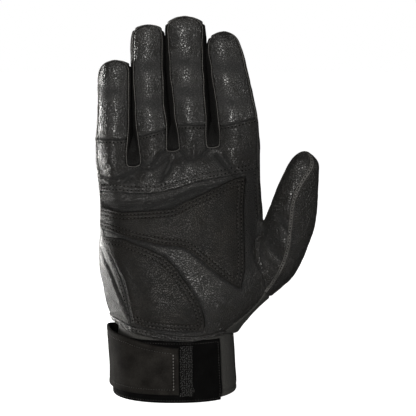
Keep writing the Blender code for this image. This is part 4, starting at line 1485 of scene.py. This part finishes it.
def bentWireTree():
    # a small bent wire standing on every point, turned at random about the outward side
    tree, given, result = newTree(
        "bentWires", {"Height": 0.0009, "Reach": 0.0005, "Radius": 0.00009, "Seed": 5, "Material": None}
    )
    arch = addNode(
        tree, "GeometryNodeCurveQuadraticBezier", Resolution=4, Start=(0.0, 0.0, 0.0),
        Middle=combine(tree, 0.0, 0.0, given.outputs["Height"]),
        End=combine(tree, given.outputs["Reach"], 0.0, mathNode(tree, "MULTIPLY", given.outputs["Height"], 0.35)),
    )
    ring = addNode(tree, "GeometryNodeCurvePrimitiveCircle", Resolution=4, Radius=given.outputs["Radius"])
    wire = addNode(
        tree, "GeometryNodeCurveToMesh", Curve=arch.outputs["Curve"],
        **{"Profile Curve": ring.outputs["Curve"], "Fill Caps": True},
    )
    spin = addNode(tree, "FunctionNodeRandomValue", {"data_type": "FLOAT"}, Seed=given.outputs["Seed"])
    feed(tree, spin, {3: 2 * math.pi})
    about = addNode(tree, "FunctionNodeAxisAngleToRotation", Axis=(0.0, 0.0, 1.0), Angle=spin.outputs[1])
    turned = addNode(
        tree, "FunctionNodeRotateRotation", {"rotation_space": "LOCAL"}, Rotation=turnedBy(tree, "run", "out")
    )
    tree.links.new(about.outputs["Rotation"], turned.inputs["Rotate By"])
    placed = addNode(
        tree, "GeometryNodeInstanceOnPoints", Points=given.outputs["Geometry"], Instance=wire.outputs["Mesh"],
        Rotation=turned.outputs["Rotation"],
    )
    endTree(tree, given, result, placed.outputs["Instances"])
    return tree


def grown(name, tree, points, edges, attributes, inputs):
    # runs a tree on points or runs of edges and keeps the plain mesh
    seed = bpy.data.meshes.new(name + "Seed")
    seed.from_pydata((np.asarray(points) * mm).tolist(), edges, [])
    for key, vectors in attributes.items():
        layer = seed.attributes.new(key, "FLOAT_VECTOR", "POINT")
        layer.data.foreach_set("vector", np.asarray(vectors, np.float32).ravel())
    holder = bpy.data.objects.new(name + "Seed", seed)
    bpy.context.scene.collection.objects.link(holder)
    modifier = holder.modifiers.new("grow", "NODES")
    modifier.node_group = tree
    items = [item for item in tree.interface.items_tree if item.item_type == "SOCKET" and item.in_out == "INPUT"]
    sockets = {item.name: item.identifier for item in items}
    for key, value in inputs.items():
        modifier[sockets[key]] = value
    mesh = bpy.data.meshes.new_from_object(holder.evaluated_get(bpy.context.evaluated_depsgraph_get()))
    bpy.data.objects.remove(holder)
    bpy.data.meshes.remove(seed)
    mesh.name = name
    for layer in [a for a in mesh.attributes if a.name in ("run", "out")]:
        mesh.attributes.remove(layer)
    piece = bpy.data.objects.new(name, mesh)
    bpy.context.scene.collection.objects.link(piece)
    return piece


rowTree = sewnRowTree()
edgeTree = rolledEdgeTree()
wireTree = bentWireTree()


def seamRuns(number, other, keep=None):
    # the line of a seam on the fine skin, level with the leather beside it
    s = skins[skin["fineLevel"]]
    edges = s.seams.get((number, other), [])
    if keep is not None:
        edges = [e for e in edges if keep(s.rest[e[0]]) and keep(s.rest[e[1]])]
    runs = []
    for run in chainsOf(np.array(edges, int).reshape(-1, 2)) if edges else []:
        rest, normals = s.rest[run], s.normals[run]
        line = s.broad[run] + normals * fineRise(rest, normals)[:, None]
        for _ in range(4):
            line[1:-1] = (line[:-2] + 2 * line[1:-1] + line[2:]) / 4
        runs.append((line, normals))
    return runs


seamEdges = {"radius": 0.25, "lift": 0.05, "thumbRadius": 0.30, "thumbApart": 0.75, "pinch": 0.14, "pitch": 1.65}


def rollEdges(name, runs, radius, lift):
    points, edges = [], []
    for line, normals in runs:
        first = len(points)
        points.extend((line + normals * lift).tolist())
        edges.extend((first + i, first + i + 1) for i in range(len(line) - 1))
    piece = grown(name, edgeTree, points, edges, {}, {
        "Radius": radius * mm, "Pitch": seamEdges["pitch"] * mm, "Pinch": seamEdges["pinch"], "Step": 0.4 * mm,
        "Sides": 8, "Material": cutEdge,
    })
    dress(piece, "leather")


def sewEdges():
    runs = []
    for front in fronts:
        for gusset in gussets:
            runs += seamRuns(front, gusset)
        runs += seamRuns(front, backPanel)
    for gusset in gussets:
        runs += seamRuns(upper, gusset)
    runs += seamRuns(upper, backPanel, lambda p: p[0] < 0)
    rollEdges("finger_seam_edges", runs, seamEdges["radius"], seamEdges["lift"])
    middle = seamRuns(thumbFront, thumbBack)
    apart = []
    for line, normals in middle:
        side = np.cross(normals, np.gradient(line, axis=0))
        side /= np.linalg.norm(side, axis=1, keepdims=True)
        apart += [(line + side * seamEdges["thumbApart"] * sign, normals) for sign in (1, -1)]
        addStitches("thumb", "bright", line, normals, 0.1)
    rollEdges("thumb_seam_edges", apart, seamEdges["thumbRadius"], 0.0)


sewEdges()
threadOf = {"wide": thread, "fine": thread, "bright": brightThread}
for (group, kind), parts in sorted(stitched.items()):
    spots, runs, outs = (np.concatenate([part[i] for part in parts]) for i in range(3))
    k = stitchKinds[kind]
    beads = grown(f"{group}_stitches_{kind}", rowTree, spots, [], {"run": runs, "out": outs}, {
        "Length": k["length"] * mm, "Width": k["thickness"] * mm, "Height": k["thickness"] * 0.7 * mm,
        "Shift": 0.0, "Lift": 0.03 * mm, "Segments": 6, "Material": threadOf[kind],
    })
    dress(beads, "leather" if group != "closure" else "suede")
    holes = grown(f"{group}_needle_holes_{kind}", rowTree, spots, [], {"run": runs, "out": outs}, {
        "Length": k["hole"] * mm, "Width": k["hole"] * 0.9 * mm, "Height": 0.22 * mm,
        "Shift": k["pitch"] / 2 * mm, "Lift": 0.0, "Segments": 6, "Material": needleHole,
    })
    dress(holes, "leather" if group != "closure" else "suede")
    print(group, kind, "stitches", len(spots))


hooks = {"pitch": 1.1, "height": 0.75, "reach": 0.5, "radius": 0.11}


def hookField():
    grid = bands["hook_tape"]
    flat = grid.reshape(-1, 3)
    spots, outs, runs = [], [], []
    low, top = flat.min(axis=0), flat.max(axis=0)
    tree = BVHTree.FromPolygons(flat.tolist(), gridQuads(*grid.shape[:2]).tolist())
    rng = np.random.default_rng(11)
    for x in np.arange(low[0] + 0.5, top[0], hooks["pitch"]):
        for z in np.arange(low[2] + 0.6, top[2], hooks["pitch"]):
            dx, dz = rng.uniform(-0.18, 0.18, 2)
            hit, normal, _, _ = tree.ray_cast(Vector((x + dx, -60, z + dz)), Vector((0, 1, 0)))
            if hit is not None:
                spots.append(tuple(hit))
                outs.append(tuple(normal))
                runs.append((0, 0, 1))
    piece = grown("hook_teeth", wireTree, spots, [], {"run": runs, "out": outs}, {
        "Height": hooks["height"] * mm, "Reach": hooks["reach"] * mm, "Radius": hooks["radius"] * mm, "Seed": 5,
        "Material": hookWire,
    })
    dress(piece, "hook")
    print("hooks", len(spots))


hookField()
